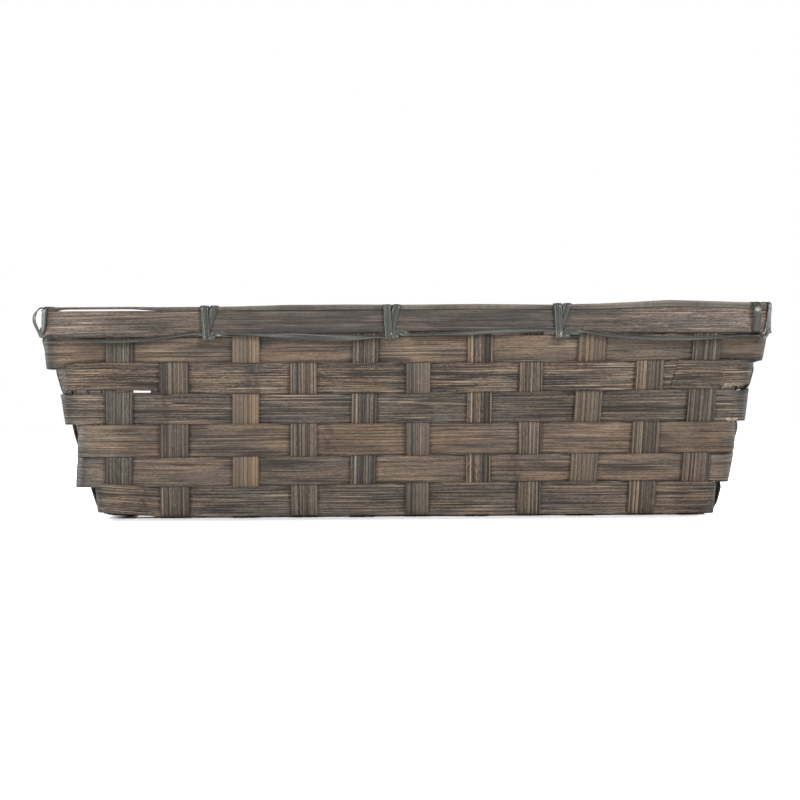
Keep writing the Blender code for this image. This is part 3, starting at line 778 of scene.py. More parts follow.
def fibre_group():
    """What every bamboo shares, from a place on the strip in metres: fine fibres, dark lines along
    them, pale scratches, broad stains, and a height for the surface."""
    tree = bpy.data.node_groups.new("bamboo_fibres", "ShaderNodeTree")
    socket_in(tree, "Place", "Vector")
    socket_in(tree, "Fineness", "Float", 1.0)
    socket_in(tree, "Waver", "Float", 1.0)
    for name in ("Fibre", "Line", "Scratch", "Stain", "Smudge", "Height"):
        tree.interface.new_socket(name, in_out="OUTPUT", socket_type="NodeSocketFloat")
    given = wires(tree, tree.nodes.new("NodeGroupInput"))
    parts = tree.nodes.new("ShaderNodeSeparateXYZ")
    given["Place"].to(parts.inputs["Vector"])
    place = wires(tree, parts)
    u = place["X"] * given["Waver"]
    v = place["Y"] * given["Fineness"]

    def streaks(lengthwise, crosswise, layer, detail=2.0, rough=0.5):
        return noise(tree, combine(tree, u * lengthwise, v * crosswise, layer), detail, rough)

    coarse, fine = streaks(*COARSE_STREAKS), streaks(*FINE_STREAKS)
    fibre = remap(tree, coarse * COARSE_SHARE + fine * (1 - COARSE_SHARE), 0.4, 0.6)
    flat = combine(tree, place["X"], v, FLAT_LAYER)
    grain = noise(tree, vector_calc(tree, "MULTIPLY", flat, GRAIN_RATES), 2.0, 0.6)
    speckle = noise(tree, vector_calc(tree, "MULTIPLY", flat, SPECKLE_RATES), 2.0, 0.7)
    fibre = (grain - 0.5) * GRAIN_DEPTH + fibre
    fibre = ((speckle - 0.5) * SPECKLE_DEPTH + fibre).clamped()
    ridge = abs(streaks(*RIDGE_STREAKS) - 0.5)
    line = remap(tree, ridge, 0.01, 0.09, 1.0, 0.0) * remap(tree, streaks(*LINE_STREAKS), 0.4, 0.52)
    scratch = remap(tree, streaks(*SCRATCH_STREAKS), 0.56, 0.66)
    stain = remap(tree, streaks(*STAIN_STREAKS), 0.32, 0.68)
    smudge = remap(tree, noise(tree, flat, 3.0, 0.6, SMUDGE_RATE), 0.35, 0.6)
    add(tree, "NodeGroupOutput", fibre, line, scratch, stain, smudge, fibre - line * LINE_DEPTH)
    return tree


def srgb(red, green, blue):
    """A linear colour from its 0 to 255 parts."""
    parts = [part / 255 for part in (red, green, blue)]
    return (*(part / 12.92 if part <= 0.04045 else ((part + 0.055) / 1.055) ** 2.4 for part in parts), 1)


RAW_BAMBOO = srgb(205, 188, 156)


def mix(tree, share, first, second):
    return add(tree, "ShaderNodeMix", share, first, second, data_type="RGBA")


def make_bamboo(name, brown, grey, dark, pale, roughness,
                fineness=1.0, waver=1.0, contrast=1.0, lines=1.0, bump=0.1, gloss=0.5):
    """A dyed bamboo. Each strip's own tone and greyness set its colour within it."""
    material = bpy.data.materials.new(f"{name}_look")
    material.use_nodes = True
    tree = material.node_tree
    shader = tree.nodes["Principled BSDF"]
    fibres = tree.nodes.new("ShaderNodeGroup")
    fibres.node_tree = fibre_tree
    add(tree, "ShaderNodeUVMap", uv_map="UVMap").to(fibres.inputs["Place"])
    fibres.inputs["Fineness"].default_value = fineness
    fibres.inputs["Waver"].default_value = waver
    fibre, line, scratch, stain, smudge, height = wires(tree, fibres).values()
    tone, greyness, share, cut, harsh, knot, raw = (
        add(tree, "ShaderNodeAttribute", attribute_name=key, output=2)
        for key in ("tone", "grey", "share", "cut", "harsh", "knot", "raw"))
    stained = stain - 0.5
    colour = mix(tree, (greyness + stained * 0.7).clamped(), brown, grey)
    # The cut darkens grooves and splits: painted shade in these recesses, partly dye gathered in the
    # grooves
    for amount, tint in (((1.0 - fibre) * (0.5 * contrast) * harsh, dark),
                         (scratch * (0.45 * contrast) * harsh, pale),
                         (line * (0.5 * lines) * harsh, dark),
                         (cut * 0.9, dark),
                         (smudge * knot * 0.6, dark)):
        colour = mix(tree, amount.clamped(), colour, tint)
    # Darker along both long edges of every strip: painted shade where strips meet, partly dirt
    edge = abs(share * 2.0 - 1.0)
    colour = mix(tree, remap(tree, edge, 0.9, 1.0, 0.0, 0.55), colour, dark)
    bare = raw * remap(tree, share, 0.06, 0.12, 0.85, 0.0) * (smudge * -0.85 + 1.0)
    colour = mix(tree, bare, colour, RAW_BAMBOO)
    brightness = remap(tree, tone, 0.0, 1.0, 0.62, 1.38, kind="LINEAR") + stained * -0.3
    shadow = remap(tree, cut, 1.0, 1.6, 1.0, 0.12)
    vector_calc(tree, "SCALE", colour, brightness * shadow).to(shader.inputs["Base Color"])
    remap(tree, fibre, 0.0, 1.0, roughness + 0.12, roughness - 0.05).to(shader.inputs["Roughness"])
    shader.inputs["Specular IOR Level"].default_value = gloss
    add(tree, "ShaderNodeBump", bump, RELIEF_HEIGHT, None, height).to(shader.inputs["Normal"])
    return material


strip_tree = make_strip_tree()
fibre_curves_tree = make_fibre_tree()
fibre_tree = fibre_group()

weaver_bamboo = make_bamboo(
    "weaver_bamboo", srgb(137, 114, 92), srgb(108, 102, 95), srgb(46, 40, 34), srgb(170, 150, 126),
    0.44, contrast=1.15, lines=1.4)
stake_bamboo = make_bamboo(
    "stake_bamboo", srgb(144, 122, 98), srgb(116, 109, 100), srgb(44, 38, 32), srgb(176, 158, 136),
    0.55, fineness=1.15, waver=0.2, contrast=1.6, lines=1.8)
rim_bamboo = make_bamboo(
    "rim_bamboo", srgb(126, 109, 95), srgb(94, 88, 83), srgb(44, 39, 35), srgb(172, 150, 130),
    0.5, contrast=1.2)
cap_bark = make_bamboo(
    "cap_bark", srgb(132, 123, 112), srgb(120, 117, 109), srgb(58, 54, 49), srgb(146, 142, 132),
    0.58, contrast=0.8, gloss=0.3)
lash_bark = make_bamboo(
    "lash_bark", srgb(80, 81, 74), srgb(69, 70, 66), srgb(32, 32, 29), srgb(140, 140, 130),
    0.24, fineness=2.0, contrast=1.1, gloss=0.75)

weaver_section = make_section("weaver_section", (0.13, 0.21, 0.31, 0.39, 0.49, 0.58, 0.66, 0.77, 0.87),
                              (0.2, 0.52, 0.8), lip=0.016)
stake_section = make_section("stake_section", (0.12, 0.27, 0.41, 0.57, 0.7, 0.87), (0.25, 0.5, 0.77))
hoop_section = make_section("hoop_section", (0.2, 0.44, 0.63, 0.82), (0.3, 0.7), rounding=0.05)
cap_section = make_section("cap_section", (0.3, 0.5, 0.7), (0.5,), rounding=0.13, lip=0.03)
lash_section = make_section("lash_section", (0.25, 0.5, 0.75), (0.5,), rounding=0.1, lip=0.05)


def stretch(loop, travels, side, first, last, fade):
    """1 along a stretch of one side, falling to 0 past its ends."""
    ends = sorted((loop.travel(side, first), loop.travel(side, last)))
    result = np.zeros(len(travels))
    for turn in range(-1, 3):
        away = np.abs(travels - sum(ends) / 2 - turn * loop.length) - (ends[1] - ends[0]) / 2
        result += 1 - ease(away / fade)
    return result


def row_edge(index, above, loop, travels):
    """Height at each distance round of the edge between two rows, for the row above or below."""
    front = [(loop.travel(FRONT, place), shift)
             for place, shift in zip(EDGE_PLACES, FRONT_EDGE_SHIFTS[index])]
    draw = np.random.default_rng(EDGE_SEED + index)
    rest = np.linspace(loop.side_start(RIGHT) + EDGE_WAVER_MARGIN, loop.length - EDGE_WAVER_MARGIN,
                       EDGE_WAVER_KNOTS)
    knots = front + [(travel, draw.normal(0, EDGE_WAVER)) for travel in rest]
    drop = BOTTOM_DROP if index == 0 else 0.0
    room = np.full(len(travels), ROW_GAP / 2 if above else -ROW_GAP / 2)
    for edge, side, first, last, down, up in SLITS:
        if edge == index:
            room += (up if above else -down) * stretch(loop, travels, side, first, last, SLIT_FADE)
    return ROW_EDGES_Z[index] - drop + room + np.interp(travels, *zip(*knots), period=loop.length)


def corner_values(loop, row, travels):
    """At each distance round: how far a row's top and bottom edges stand out, how near a corner is, how
    much painted shade falls where the strip bends there, and how much painted highlight lies just before it
    bends."""
    front_left, front_right, back = CORNER_SHIFTS[row - 1]
    result = np.zeros((5, len(travels)))
    for side, shifts in ((FRONT, front_right), (RIGHT, back), (BACK, back), (LEFT, front_left)):
        start, end = loop.corner(side)
        for turn in range(-1, 3):
            past = travels - turn * loop.length - start
            past = end - start - past if side in (FRONT, BACK) else past
            middle = (end - start) / 2
            weight = ease(past / CORNER_FADE_SHORT + 1)
            weight *= 1 - ease((past - middle) / (middle + CORNER_FADE_LONG))
            bend_shade = 1 - ease(np.abs(past - BEND_MIDDLE_SHARE * middle) / (BEND_REACH_SHARE * middle))
            before_bend_highlight = 1 - ease(np.abs(past - end + start - BEFORE_BEND_PLACE) / BEFORE_BEND_REACH)
            result += np.stack([shifts[0] * weight, shifts[1] * weight, weight, bend_shade, before_bend_highlight])
    return result


def narrow(points):
    """Draws the rim's left end in a little."""
    x, y, z = points.T
    inwards = LEFT_NARROWING * ease((-x - NARROWING_START) / NARROWING_REACH)
    return points + np.stack([inwards, y * 0, z * 0], axis=1)


def settle(points):
    """Lifts the front left foot corner a little, and all that is low just clear of the floor."""
    x, y, z = points.T
    leftwards = np.clip((LIFT_REACH - BASE_HALF_LENGTH - x) / LIFT_REACH, 0, 1)
    forwards = np.clip((LIFT_REACH - BASE_HALF_WIDTH - y) / LIFT_REACH, 0, 1)
    lift = CORNER_LIFT * leftwards * forwards * (1 - ease(z / LIFT_FADE_Z))
    lift += FLOOR_ROOM * (1 - ease(z / FLOOR_ROOM_Z))
    return points + np.stack([x * 0, y * 0, lift], axis=1)


def weave_row(row):
    z = (ROW_EDGES_Z[row - 1] + ROW_EDGES_Z[row]) / 2
    half_length, half_width = BASE_HALF_LENGTH + wall_spread(z), BASE_HALF_WIDTH + wall_spread(z)
    loop = WallLoop(half_length, half_width, STRIP_BEND_RADIUS)
    flats = weaver_flats(loop, row, z)
    travels = np.arange(flats[0][0] - LAP_TAIL, flats[-1][1] + LAP_TAIL, WEAVER_STEP)
    offsets = offsets_along(loop, flats, travels)
    top_shift, bottom_shift, cornered, bend_shade, before_bend_highlight = corner_values(loop, row, travels)
    leans = math.tan(WALL_LEAN) + (top_shift - bottom_shift) / (ROW_EDGES_Z[row] - ROW_EDGES_Z[row - 1])
    outs = offsets / math.cos(WALL_LEAN) + (top_shift + bottom_shift) / 2
    centres, ups = [], []
    for travel, out, lean in zip(travels, outs, leans):
        point, outward = loop.at(travel, out)
        centres.append(point + Vector((0, 0, z)))
        ups.append((outward * lean + Vector((0, 0, 1))).normalized())
    centres, ups = settle(np.array(centres)), np.array(ups)
    low = (row_edge(row - 1, True, loop, travels) - z) * np.hypot(1, leans)
    high = (row_edge(row, False, loop, travels) - z) * np.hypot(1, leans)
    split = sum(stretch(loop, travels, FRONT, *ends, SPLIT_FADE) for ends in SPLITS) * (row == 1)
    raw = sum(stretch(loop, travels, side, *ends, FRAY_FADE) * (row == frayed)
              for frayed, side, *ends in FRAYS)
    from_end = np.minimum(travels - travels[0], travels[-1] - travels)
    slant = LAP_SLANT * (1 - ease((from_end - LAP_SLANT_START) / LAP_SLANT_REACH))
    draw = np.random.default_rng(row)
    first_knot = loop.length + loop.travel(FRONT, KNOT_PLACE)
    if row != KNOTTED_ROW:
        first_knot = draw.uniform(0, KNOT_SPACING)
    from_knot = (travels - first_knot + KNOT_SPACING / 2) % KNOT_SPACING - KNOT_SPACING / 2
    tone, grey, harsh, grooved = ROW_LOOKS[row - 1]
    # Painted sheen and painted shade at the two ends of the row's front
    for end, change in zip((-half_length, half_length), FRONT_END_SHEEN_AND_SHADE[row - 1]):
        inner_end = end - math.copysign(FRONT_END_REACH, end)
        tone = tone + change * stretch(loop, travels, FRONT, end, inner_end, FRONT_END_FADE)
    # Painted shade on the corner bends and a painted highlight just before them
    tone = tone + wander(travels, *ROW_TONE_DRIFT, draw) + PAINTED_BEND_SHADE * bend_shade + PAINTED_BEFORE_BEND_HIGHLIGHT * before_bend_highlight
    # Round the corners the grey holds a painted sheen
    make_strip(f"weaver_{row}", centres, ups, low, high, weaver_section, weaver_bamboo,
               seed=3.0 * row, thickness=WEAVER_THICKNESS, groove_share=grooved, crown=0.00015,
               split=split, slant=slant, raw=raw, knot=1 - ease(np.abs(from_knot) / KNOT_REACH), tone=tone,
               grey=grey + wander(travels, *ROW_GREY_DRIFT, draw) + PAINTED_CORNER_SHEEN * cornered, harsh=harsh)
    if raw.any():
        edge = centres + ups * (low + FRAY_INSET)[:, None]
        face = edge + np.cross(unit(np.gradient(edge, axis=0)), ups) * WEAVER_THICKNESS / 2
        fray(f"loose_fibres_{row}", face[raw > FRAY_BARE], weaver_bamboo, seed=row)


def stake_wall(base_half, in_front, swell_out):
    """A stake's line from the rim down round its foot, as (distance out, height). It swells
    outwards where it stands in front of a weaver and inwards where it stands behind."""
    wall = []
    for z in np.linspace(HOOP_TOP_Z, ROWS_BOTTOM_Z, WALL_STEPS):
        row = np.searchsorted(ROW_EDGES_Z, z)
        swell = 0.0
        if 1 <= row <= ROW_COUNT:
            share = (z - ROW_EDGES_Z[row - 1]) / (ROW_EDGES_Z[row] - ROW_EDGES_Z[row - 1])
            swell = swell_out if in_front(row) else -STAKE_SWELL_IN
            swell *= ease(share / SWELL_RAMP) * ease((1 - share) / SWELL_RAMP)
        wall.append((base_half + wall_spread(z) + swell, z))
    for step in range(CREASE_STEPS + 1):
        angle = -WALL_LEAN - (math.pi / 2 - WALL_LEAN) * step / CREASE_STEPS
        wall.append((base_half - CREASE_TANGENT + CREASE_RADIUS * math.cos(angle),
                     BASE_MIDDLE_Z + CREASE_RADIUS * (1 + math.sin(angle))))
    return wall


def stake_profile(base_half, places, widths, on_top, in_front, swells):
    """A stake's line from rim to rim as (distance along, height)."""
    first, last = (stake_wall(base_half, in_front, swell) for swell in swells)
    line = [(-out, z) for out, z in first]
    for place, width, top in zip(places, widths, on_top):
        height = BASE_MIDDLE_Z + (BASE_REACH if top else -BASE_REACH)
        flat = width / 2 + FLAT_MARGIN
        line += [(place - flat, height), (place + flat, height)]
    line += reversed(last)
    fine, = resample(np.array(line), STAKE_FINE_STEP)
    return resample(soften(fine, STAKE_SOFTENING), STAKE_STEP)[0]


def make_stakes():
    cross = [(cross_stake_x(i, 0, BACK), cross_stake_width(i)) for i in range(len(CROSS_FOOT_SHARES))]
    long = [(long_stake_y(j), long_stake_width(j)) for j in range(len(LONG_FOOT_SHARES))]
    for crossways, own, others in ((True, cross, long), (False, long, cross)):
        half = BASE_HALF_WIDTH if crossways else BASE_HALF_LENGTH
        for index, (place, width) in enumerate(own):
            on_top = [(index + other) % 2 == (1 if crossways else 0) for other in range(len(others))]
            inner = crossways or 0 < index < len(own) - 1
            swells = (STAKE_SWELL_OUT, STAKE_SWELL_OUT) if inner else (LEFT_SWELL, RIGHT_SWELL)
            line = stake_profile(half, *zip(*others), on_top,
                                 lambda row: (index + row) % 2 != (1 if crossways else 0), swells)
            along, height = line.T
            if crossways:
                beside = [cross_stake_x(index, z, FRONT) if y < -half + CREASE_TANGENT else place
                          for y, z in line]
                points, across = np.stack([beside, along, height], axis=1), (1.0, 0.0, 0.0)
                name, seed = f"cross_stake_{index + 1:02d}", 70.0 + index
            else:
                beside = np.full(len(along), place)
                points, across = np.stack([along, beside, height], axis=1), (0.0, -1.0, 0.0)
                name, seed = f"long_stake_{index + 1}", 50.0 + index
            draw = np.random.default_rng(int(seed))
            walked = lengths_along(points)
            low = wander(walked, *STAKE_EDGE_DRIFT, draw) - width / 2
            high = wander(walked, *STAKE_EDGE_DRIFT, draw) + width / 2
            tone, grey = draw.normal(*LONG_TONE), draw.normal(*LONG_GREY)
            harsh = draw.uniform(*LONG_HARSHNESS)
            if crossways:
                tone, grey, harsh = CROSS_TONES[index], CROSS_GREYS[index], CROSS_HARSHNESS[index]
            tone = tone + FOOT_TONE * (1 - points[:, 2] / TRAY_HEIGHT)
            tone += wander(walked, *STAKE_TONE_DRIFT, draw)
            make_strip(name, settle(points), np.tile(across, (len(points), 1)), low, high, stake_section,
                       stake_bamboo, seed=seed, thickness=STAKE_THICKNESS, groove_depth=0.00025,
                       groove_share=0.7, groove_reach=3.0, crown=0.0001, tone=tone,
                       grey=grey + wander(walked, *STAKE_GREY_DRIFT, draw), harsh=harsh)


def front_share(loop, travels, places, values, elsewhere):
    """A value along the rim: as given at places along the front, and constant elsewhere."""
    knots = [(loop.travel(FRONT, place), value) for place, value in zip(places, values)]
    knots += [(loop.side_start(RIGHT) + REST_MARGIN, elsewhere), (loop.length - REST_MARGIN, elsewhere)]
    return np.interp(travels, *zip(*knots), period=loop.length)


def make_hoops():
    loop = WallLoop(RIM_HALF_LENGTH, RIM_HALF_WIDTH)
    scarf = loop.travel(BACK, 0.0) - SCARF_LENGTH / 2
    scarf_end = scarf + loop.length + SCARF_LENGTH
    travels = np.arange(scarf, scarf_end, RIM_STEP)
    first = np.clip((travels - scarf) / SCARF_LENGTH, SCARF_TIP_SHARE, 1.0)
    last = np.clip((scarf_end - travels) / SCARF_LENGTH, SCARF_TIP_SHARE, 1.0)
    shift = (first - last) * (HOOP_THICKNESS - STRIP_GAP / 2) / 2
    bottom = front_share(loop, travels, HOOP_PLACES, HOOP_BOTTOMS, HOOP_BOTTOM_Z)
    top = front_share(loop, travels, CAP_PLACES, HOOP_TOPS, HOOP_TOP_Z)
    for name, out, seed in (("outer_rim_hoop", HOOP_MIDDLE, 81.0), ("inner_rim_hoop", -HOOP_MIDDLE, 85.0)):
        places = np.array([loop.at(travel, out + moved)[0] for travel, moved in zip(travels, shift)])
        draw = np.random.default_rng(int(seed))
        tone = front_share(loop, travels, HOOP_PLACES, HOOP_TONES, HOOP_TONE)
        tone += wander(travels, *HOOP_TONE_DRIFT, draw)
        grey = front_share(loop, travels, HOOP_PLACES, HOOP_GREYS, HOOP_GREY)
        grey += wander(travels, *HOOP_GREY_DRIFT, draw)
        make_strip(name, narrow(places), np.tile((0.0, 0.0, 1.0), (len(travels), 1)), bottom, top,
                   hoop_section, rim_bamboo, seed=seed, thickness=HOOP_THICKNESS,
                   body=np.minimum(first, last), groove_depth=0.0002, groove_share=0.45, ripple=0.0002,
                   tone=tone, grey=grey,
                   harsh=front_share(loop, travels, HOOP_PLACES, HOOP_HARSHNESS, HOOP_HARSH))


def make_cap():
    loop = WallLoop(RIM_HALF_LENGTH, RIM_HALF_WIDTH)
    start = loop.travel(BACK, sum(cross_stake_x(i, 0, BACK) for i in LASHED_CROSS_PAIRS[1]) / 2)
    travels = np.arange(start, start + loop.length - STRIP_GAP, RIM_STEP)
    bases = front_share(loop, travels, CAP_PLACES, CAP_BASES, CAP_BOTTOM_Z)
    tops = front_share(loop, travels, CAP_PLACES, CAP_TOPS, TRAY_HEIGHT)
    points, inwards = [], []
    for travel, middle in zip(travels, (bases + tops) / 2):
        point, outward = loop.at(travel)
        points.append(point + Vector((0, 0, middle)))
        inwards.append(-outward)
    tone = 0.5 + wander(travels, *CAP_TONE_DRIFT, np.random.default_rng(90))
    make_strip("rim_cap", narrow(np.array(points)), np.array(inwards), -RIM_FACE, RIM_FACE, cap_section,
               cap_bark, seed=90.0, thickness=1.0, body=tops - bases, crown=0.0002, rag=0.00015,
               groove_depth=0.00015, tone=tone)


class Strand:
    """The lashing's line in rim terms: distance round, distance out and height, with the
    direction that its width lies in."""

    def __init__(self):
        self.stops = []

    def go(self, travel, out, z, across=(-1, 0, 0)):
        self.stops.append(((travel, out, z), across))

    def turn(self, travel, out, z, first, last):
        """A turn in the strand's own plane, about a centre, between two headings."""
        for step in range(TURN_STEPS + 1):
            heading = first + (last - first) * step / TURN_STEPS
            across = (-math.sin(heading), 0, math.cos(heading))
            away = LASH_TURN_RADIUS if last < first else -LASH_TURN_RADIUS
            self.go(travel + across[0] * away, out, z + across[2] * away, across)


def wrap(strand, top, bottom, front_level, back_level):
    """From the front face over the cap, down inside and out again under the hoops."""
    over_z = TRAY_HEIGHT + LASH_LIFT
    under_z = HOOP_BOTTOM_Z - LASH_LIFT
    strand.go(top, front_level, over_z - LASH_BEND)
    strand.go(top, front_level - LASH_BEND, over_z)
    strand.go(top, LASH_BEND - back_level, over_z)
    strand.go(top, -back_level, over_z - LASH_BEND)
    strand.go(bottom, -back_level, under_z + LASH_BEND)
    strand.go(bottom, LASH_BEND - back_level, under_z)


def lash(strand, middle, spread, tuck, corner, run_z, turned, turned_after):
    """One lashing: along the hoop, up in a slanted band, round the rim, up again in an
    upright band over its own start, round once more and away. The strand arrives and leaves
    turned by the two angles given."""
    near = RIM_FACE + LASH_LIFT
    far = near + LASH_THICKNESS + LASH_GAP
    under_z = HOOP_BOTTOM_Z - LASH_LIFT
    upright = middle - spread
    slanted = middle + spread
    bulge, slant, shift, tucked, twist = corner or (0.0, LASH_SLANT, KNUCKLE_SHIFT, 0.0, 0.0)
    slanted_foot = slanted - slant
    leaving = slanted_foot + shift
    turn_start = slanted_foot - LASH_TURN_RADIUS
    face = (0, -math.sin(turned), math.cos(turned))
    strand.go(upright - LASH_WIDTH, near, run_z, face)
    strand.go(turn_start, near, run_z, face)
    strand.turn(turn_start, near, run_z + LASH_TURN_RADIUS, 0, math.pi / 2)
    wrap(strand, slanted, upright, near, near + tuck)
    if corner:
        facing = (-math.cos(twist), math.sin(twist), 0)
        strand.go(upright, near - LASH_BEND, under_z, facing)
        for step in range(BULGE_STEPS):
            share = step / BULGE_STEPS
            out = near + (far - near) * share + bulge * math.sin(math.pi * share ** BULGE_LIFT)
            strand.go(upright, out, under_z + (TRAY_HEIGHT - under_z) * share, facing)
    else:
        strand.go(upright + BAND_LEAN, far - LASH_BEND, under_z)
        strand.go(upright + BAND_LEAN, far + LASH_BEND, under_z - BAND_DROP)
        strand.go(upright + BAND_LEAN, far, under_z + LASH_BEND)
    wrap(strand, upright, leaving, far, far + 2 * tuck)
    strand.go(leaving, near - LASH_BEND, under_z)
    if tucked:
        strand.go(leaving, near - TUCK_STOP_SHARE * tucked, under_z)
    if corner:
        turned_after = math.pi / 2 if tucked else turned_after
        strand.go(leaving + LASH_TURN_RADIUS, near - tucked, under_z - (0 if tucked else LASH_THICKNESS),
                  (0, -math.sin(turned_after), math.cos(turned_after)))
    else:
        strand.go(leaving, near + KNUCKLE_REACH, under_z - KNUCKLE_DROP)
        strand.go(leaving, near + KNUCKLE_REACH, under_z)
        strand.turn(leaving + LASH_TURN_RADIUS, near, under_z - LASH_WIDTH / 4, math.pi / 2, 0)


def lashing_places(loop):
    """Every lashing in order round the rim, as (distance round, spread, tuck, corner values)."""
    inner_radius = CORNER_RADIUS - RIM_FACE - LASH_LIFT
    corner_tuck = inner_radius - math.sqrt(inner_radius ** 2 - (LASH_WIDTH / 2) ** 2)
    places = []
    for side in (FRONT, RIGHT, BACK, LEFT):
        crossways = side in (FRONT, BACK)
        for pair in LASHED_CROSS_PAIRS if crossways else LASHED_LONG_PAIRS:
            if crossways:
                stakes = [cross_stake_x(index, HOOP_BOTTOM_Z, side) for index in pair]
            else:
                stakes = [long_stake_y(index) for index in pair]
            places.append((loop.travel(side, sum(stakes) / 2), LASH_SPREAD, 0, None))
        shift, bulge, slant, leaves, tucked, twist = CORNER_LASHINGS[side]
        places.append((sum(loop.corner(side)) / 2 + shift, LASH_CORNER_SPREAD, corner_tuck,
                       (bulge, slant, leaves, tucked, math.radians(twist))))
    return sorted(places)


def make_lashing():
    loop = WallLoop(RIM_HALF_LENGTH, RIM_HALF_WIDTH)
    near = RIM_FACE + LASH_LIFT
    run_z = HOOP_BOTTOM_Z + LASH_GAP + LASH_WIDTH / 2
    places = lashing_places(loop)
    first = next(i for i, place in enumerate(places) if place[0] > loop.side_start(BACK))
    order = places[first:] + [(middle + loop.length, *rest) for middle, *rest in places[:first]]
    begins = [middle - spread - LASH_WIDTH for middle, spread, *_ in order]
    start = begins[0] - LASH_TAIL
    ends = [*begins[1:], start + loop.length - LASH_ENDS_APART]
    strand = Strand()
    strand.go(start, near, run_z, (0, 0, 1))
    front_start = loop.length + loop.side_start(FRONT)
    first_front = order.index(max(place for place in order if place[0] < front_start))
    for index, (place, arriving) in enumerate(zip(order, ends)):
        before = index - 1 - first_front
        front = index - first_front
        arrives, turned, turned_after = run_z, 0.0, math.radians(RUN_TURN)
        if 0 <= before < len(FRONT_RUNS):
            arrives, turned = FRONT_RUNS[before][-1], math.radians(FRONT_RUN_TURNS[before][-1])
        if 0 <= front < len(FRONT_RUNS):
            turned_after = math.radians(FRONT_RUN_TURNS[front][0])
        lash(strand, *place, arrives, turned, turned_after)
        (leaving, _, leaving_z), _ = strand.stops[-1]
        shares = np.linspace(RUN_SHARES[0], RUN_SHARES[-1], RUN_STEPS)
        tucked = place[-1][3] if place[-1] else 0.0
        free, hang, rise = np.ones(RUN_STEPS), np.sin(math.pi * shares), shares
        if tucked:
            shares = np.linspace(EMERGING_SHARE, RUN_SHARES[-1], RUN_STEPS)
            free = rise = ease(shares * (arriving - leaving) / EMERGING_LENGTH - EMERGING_DELAY)
            hang = np.sin(math.pi * shares) * ease(shares / SAG_SHARE)
        heights = leaving_z + (run_z - leaving_z) * rise - LASH_SAG * hang
        turns = 90 * (1 - free) + RUN_TURN * hang
        if 0 <= front < len(FRONT_RUNS):
            heights = np.interp(shares, RUN_SHARES, FRONT_RUNS[front])
            turns = np.interp(shares, RUN_SHARES, FRONT_RUN_TURNS[front])
        heights, turns = soften(np.stack([heights, np.radians(turns)], axis=1), 1 if tucked else 4).T
        outs = near + LASH_GAP - (tucked + LASH_GAP) * (1 - free)
        for share, out, z, turned in zip(shares, outs, heights, turns):
            travel = leaving + (arriving - leaving) * share
            strand.go(travel, out, z, (0, -math.sin(turned), math.cos(turned)))
    strand.go(ends[-1], near, run_z, (0, 0, 1))
    stops, facings = (np.array(rows) for rows in zip(*strand.stops))
    points, across = [], []
    for (travel, out, z), (along, sideways, upwards) in zip(*resample(stops, LASH_STEP, facings)):
        point, outward = loop.at(travel, out)
        points.append(point + Vector((0, 0, z)))
        forwards = Vector((-outward.y, outward.x, 0))
        across.append(forwards * along + outward * sideways + Vector((0, 0, upwards)))
    points, across = narrow(soften(np.array(points), 2)), soften(np.array(across), 3)
    draw = np.random.default_rng(95)
    walked = lengths_along(points)
    low = wander(walked, *LASH_EDGE_DRIFT, draw) - LASH_WIDTH / 2
    high = wander(walked, *LASH_EDGE_DRIFT, draw) + LASH_WIDTH / 2
    tone = 0.5 + wander(walked, *LASH_TONE_DRIFT, draw)
    make_strip("rim_lashing", points, across, low, high, lash_section, lash_bark, seed=95.0,
               thickness=LASH_THICKNESS, groove_depth=0.00006, rag=0.0001, ripple=0.00005, crown=0.0002,
               tone=tone)


for row in range(1, ROW_COUNT + 1):
    weave_row(row)
make_stakes()
make_hoops()
make_cap()
make_lashing()
for section in (weaver_section, stake_section, hoop_section, cap_section, lash_section):
    bpy.data.objects.remove(section)

scene = bpy.context.scene
scene.view_settings.view_transform = "Standard"

camera_data = bpy.data.cameras.new("camera")
camera_data.lens = CAMERA_LENS
camera = new_object("camera", camera_data)
camera.location = CAMERA_PLACE
camera.rotation_euler = (math.radians(CAMERA_PITCH), math.radians(CAMERA_ROLL), 0)
scene.camera = camera

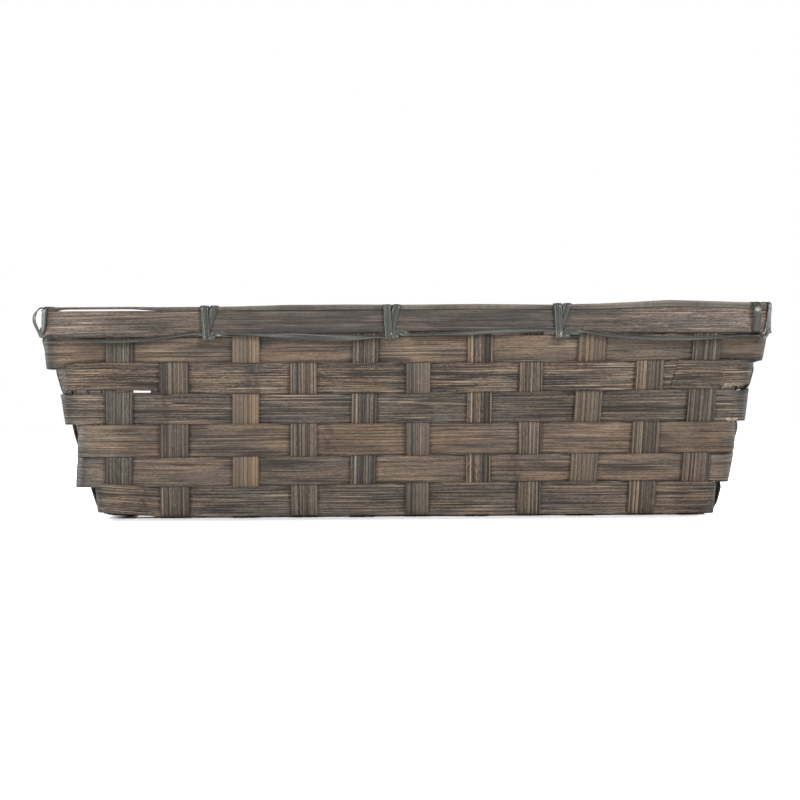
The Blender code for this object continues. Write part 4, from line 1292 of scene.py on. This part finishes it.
for name, (place, size, power) in LIGHTS.items():
    data = bpy.data.lights.new(name, "AREA")
    data.shape = "RECTANGLE"
    data.size, data.size_y = size
    data.energy = power
    light = new_object(name, data)
    light.location = place
    light.rotation_euler = (Vector(LIT_POINT) - Vector(place)).to_track_quat("-Z", "Y").to_euler()

world = bpy.data.worlds.new("white_room")
scene.world = world
world.use_nodes = True
sky = world.node_tree
background = sky.nodes["Background"]
background.inputs["Color"].default_value = (1, 1, 1, 1)
sky_ray = wires(sky, sky.nodes.new("ShaderNodeLightPath"))["Is Camera Ray"]
(sky_ray * (1 - SKY_LEVEL) + SKY_LEVEL).to(background.inputs["Strength"])

corners = [(x * FLOOR_REACH, y * FLOOR_REACH, 0) for x, y in ((-1, -1), (1, -1), (1, 1), (-1, 1))]
floor_mesh = bpy.data.meshes.new("floor")
floor_mesh.from_pydata(corners, [], [(0, 1, 2, 3)])
floor = new_object("floor", floor_mesh)
floor_white = bpy.data.materials.new("floor_white")
floor_white.use_nodes = True
floor_tree = floor_white.node_tree
floor_shader = floor_tree.nodes["Principled BSDF"]
floor_parts = floor_tree.nodes.new("ShaderNodeSeparateXYZ")
add(floor_tree, "ShaderNodeTexCoord", output=3).to(floor_parts.inputs["Vector"])
floor_place = wires(floor_tree, floor_parts)
beyond = [remap(floor_tree, abs(floor_place[axis]) - half, *ends)
          for axis, half, ends in zip("XY", (BASE_HALF_LENGTH, BASE_HALF_WIDTH), SHADOW_ENDS)]
floor_ray = wires(floor_tree, floor_tree.nodes.new("ShaderNodeLightPath"))["Is Camera Ray"]
floor_colour = mix(floor_tree, floor_ray, (*[FLOOR_GREY] * 3, 1), (*[FLOOR_WHITE] * 3, 1))
floor_colour.to(floor_shader.inputs["Base Color"])
floor_shader.inputs["Roughness"].default_value = 0.9
floor_shader.inputs["Specular IOR Level"].default_value = 0.0
floor_shader.inputs["Emission Color"].default_value = (1, 1, 1, 1)
floor_glow = floor_ray * calc(floor_tree, "MAXIMUM", *beyond)
floor_glow.to(floor_shader.inputs["Emission Strength"])
floor_mesh.materials.append(floor_white)
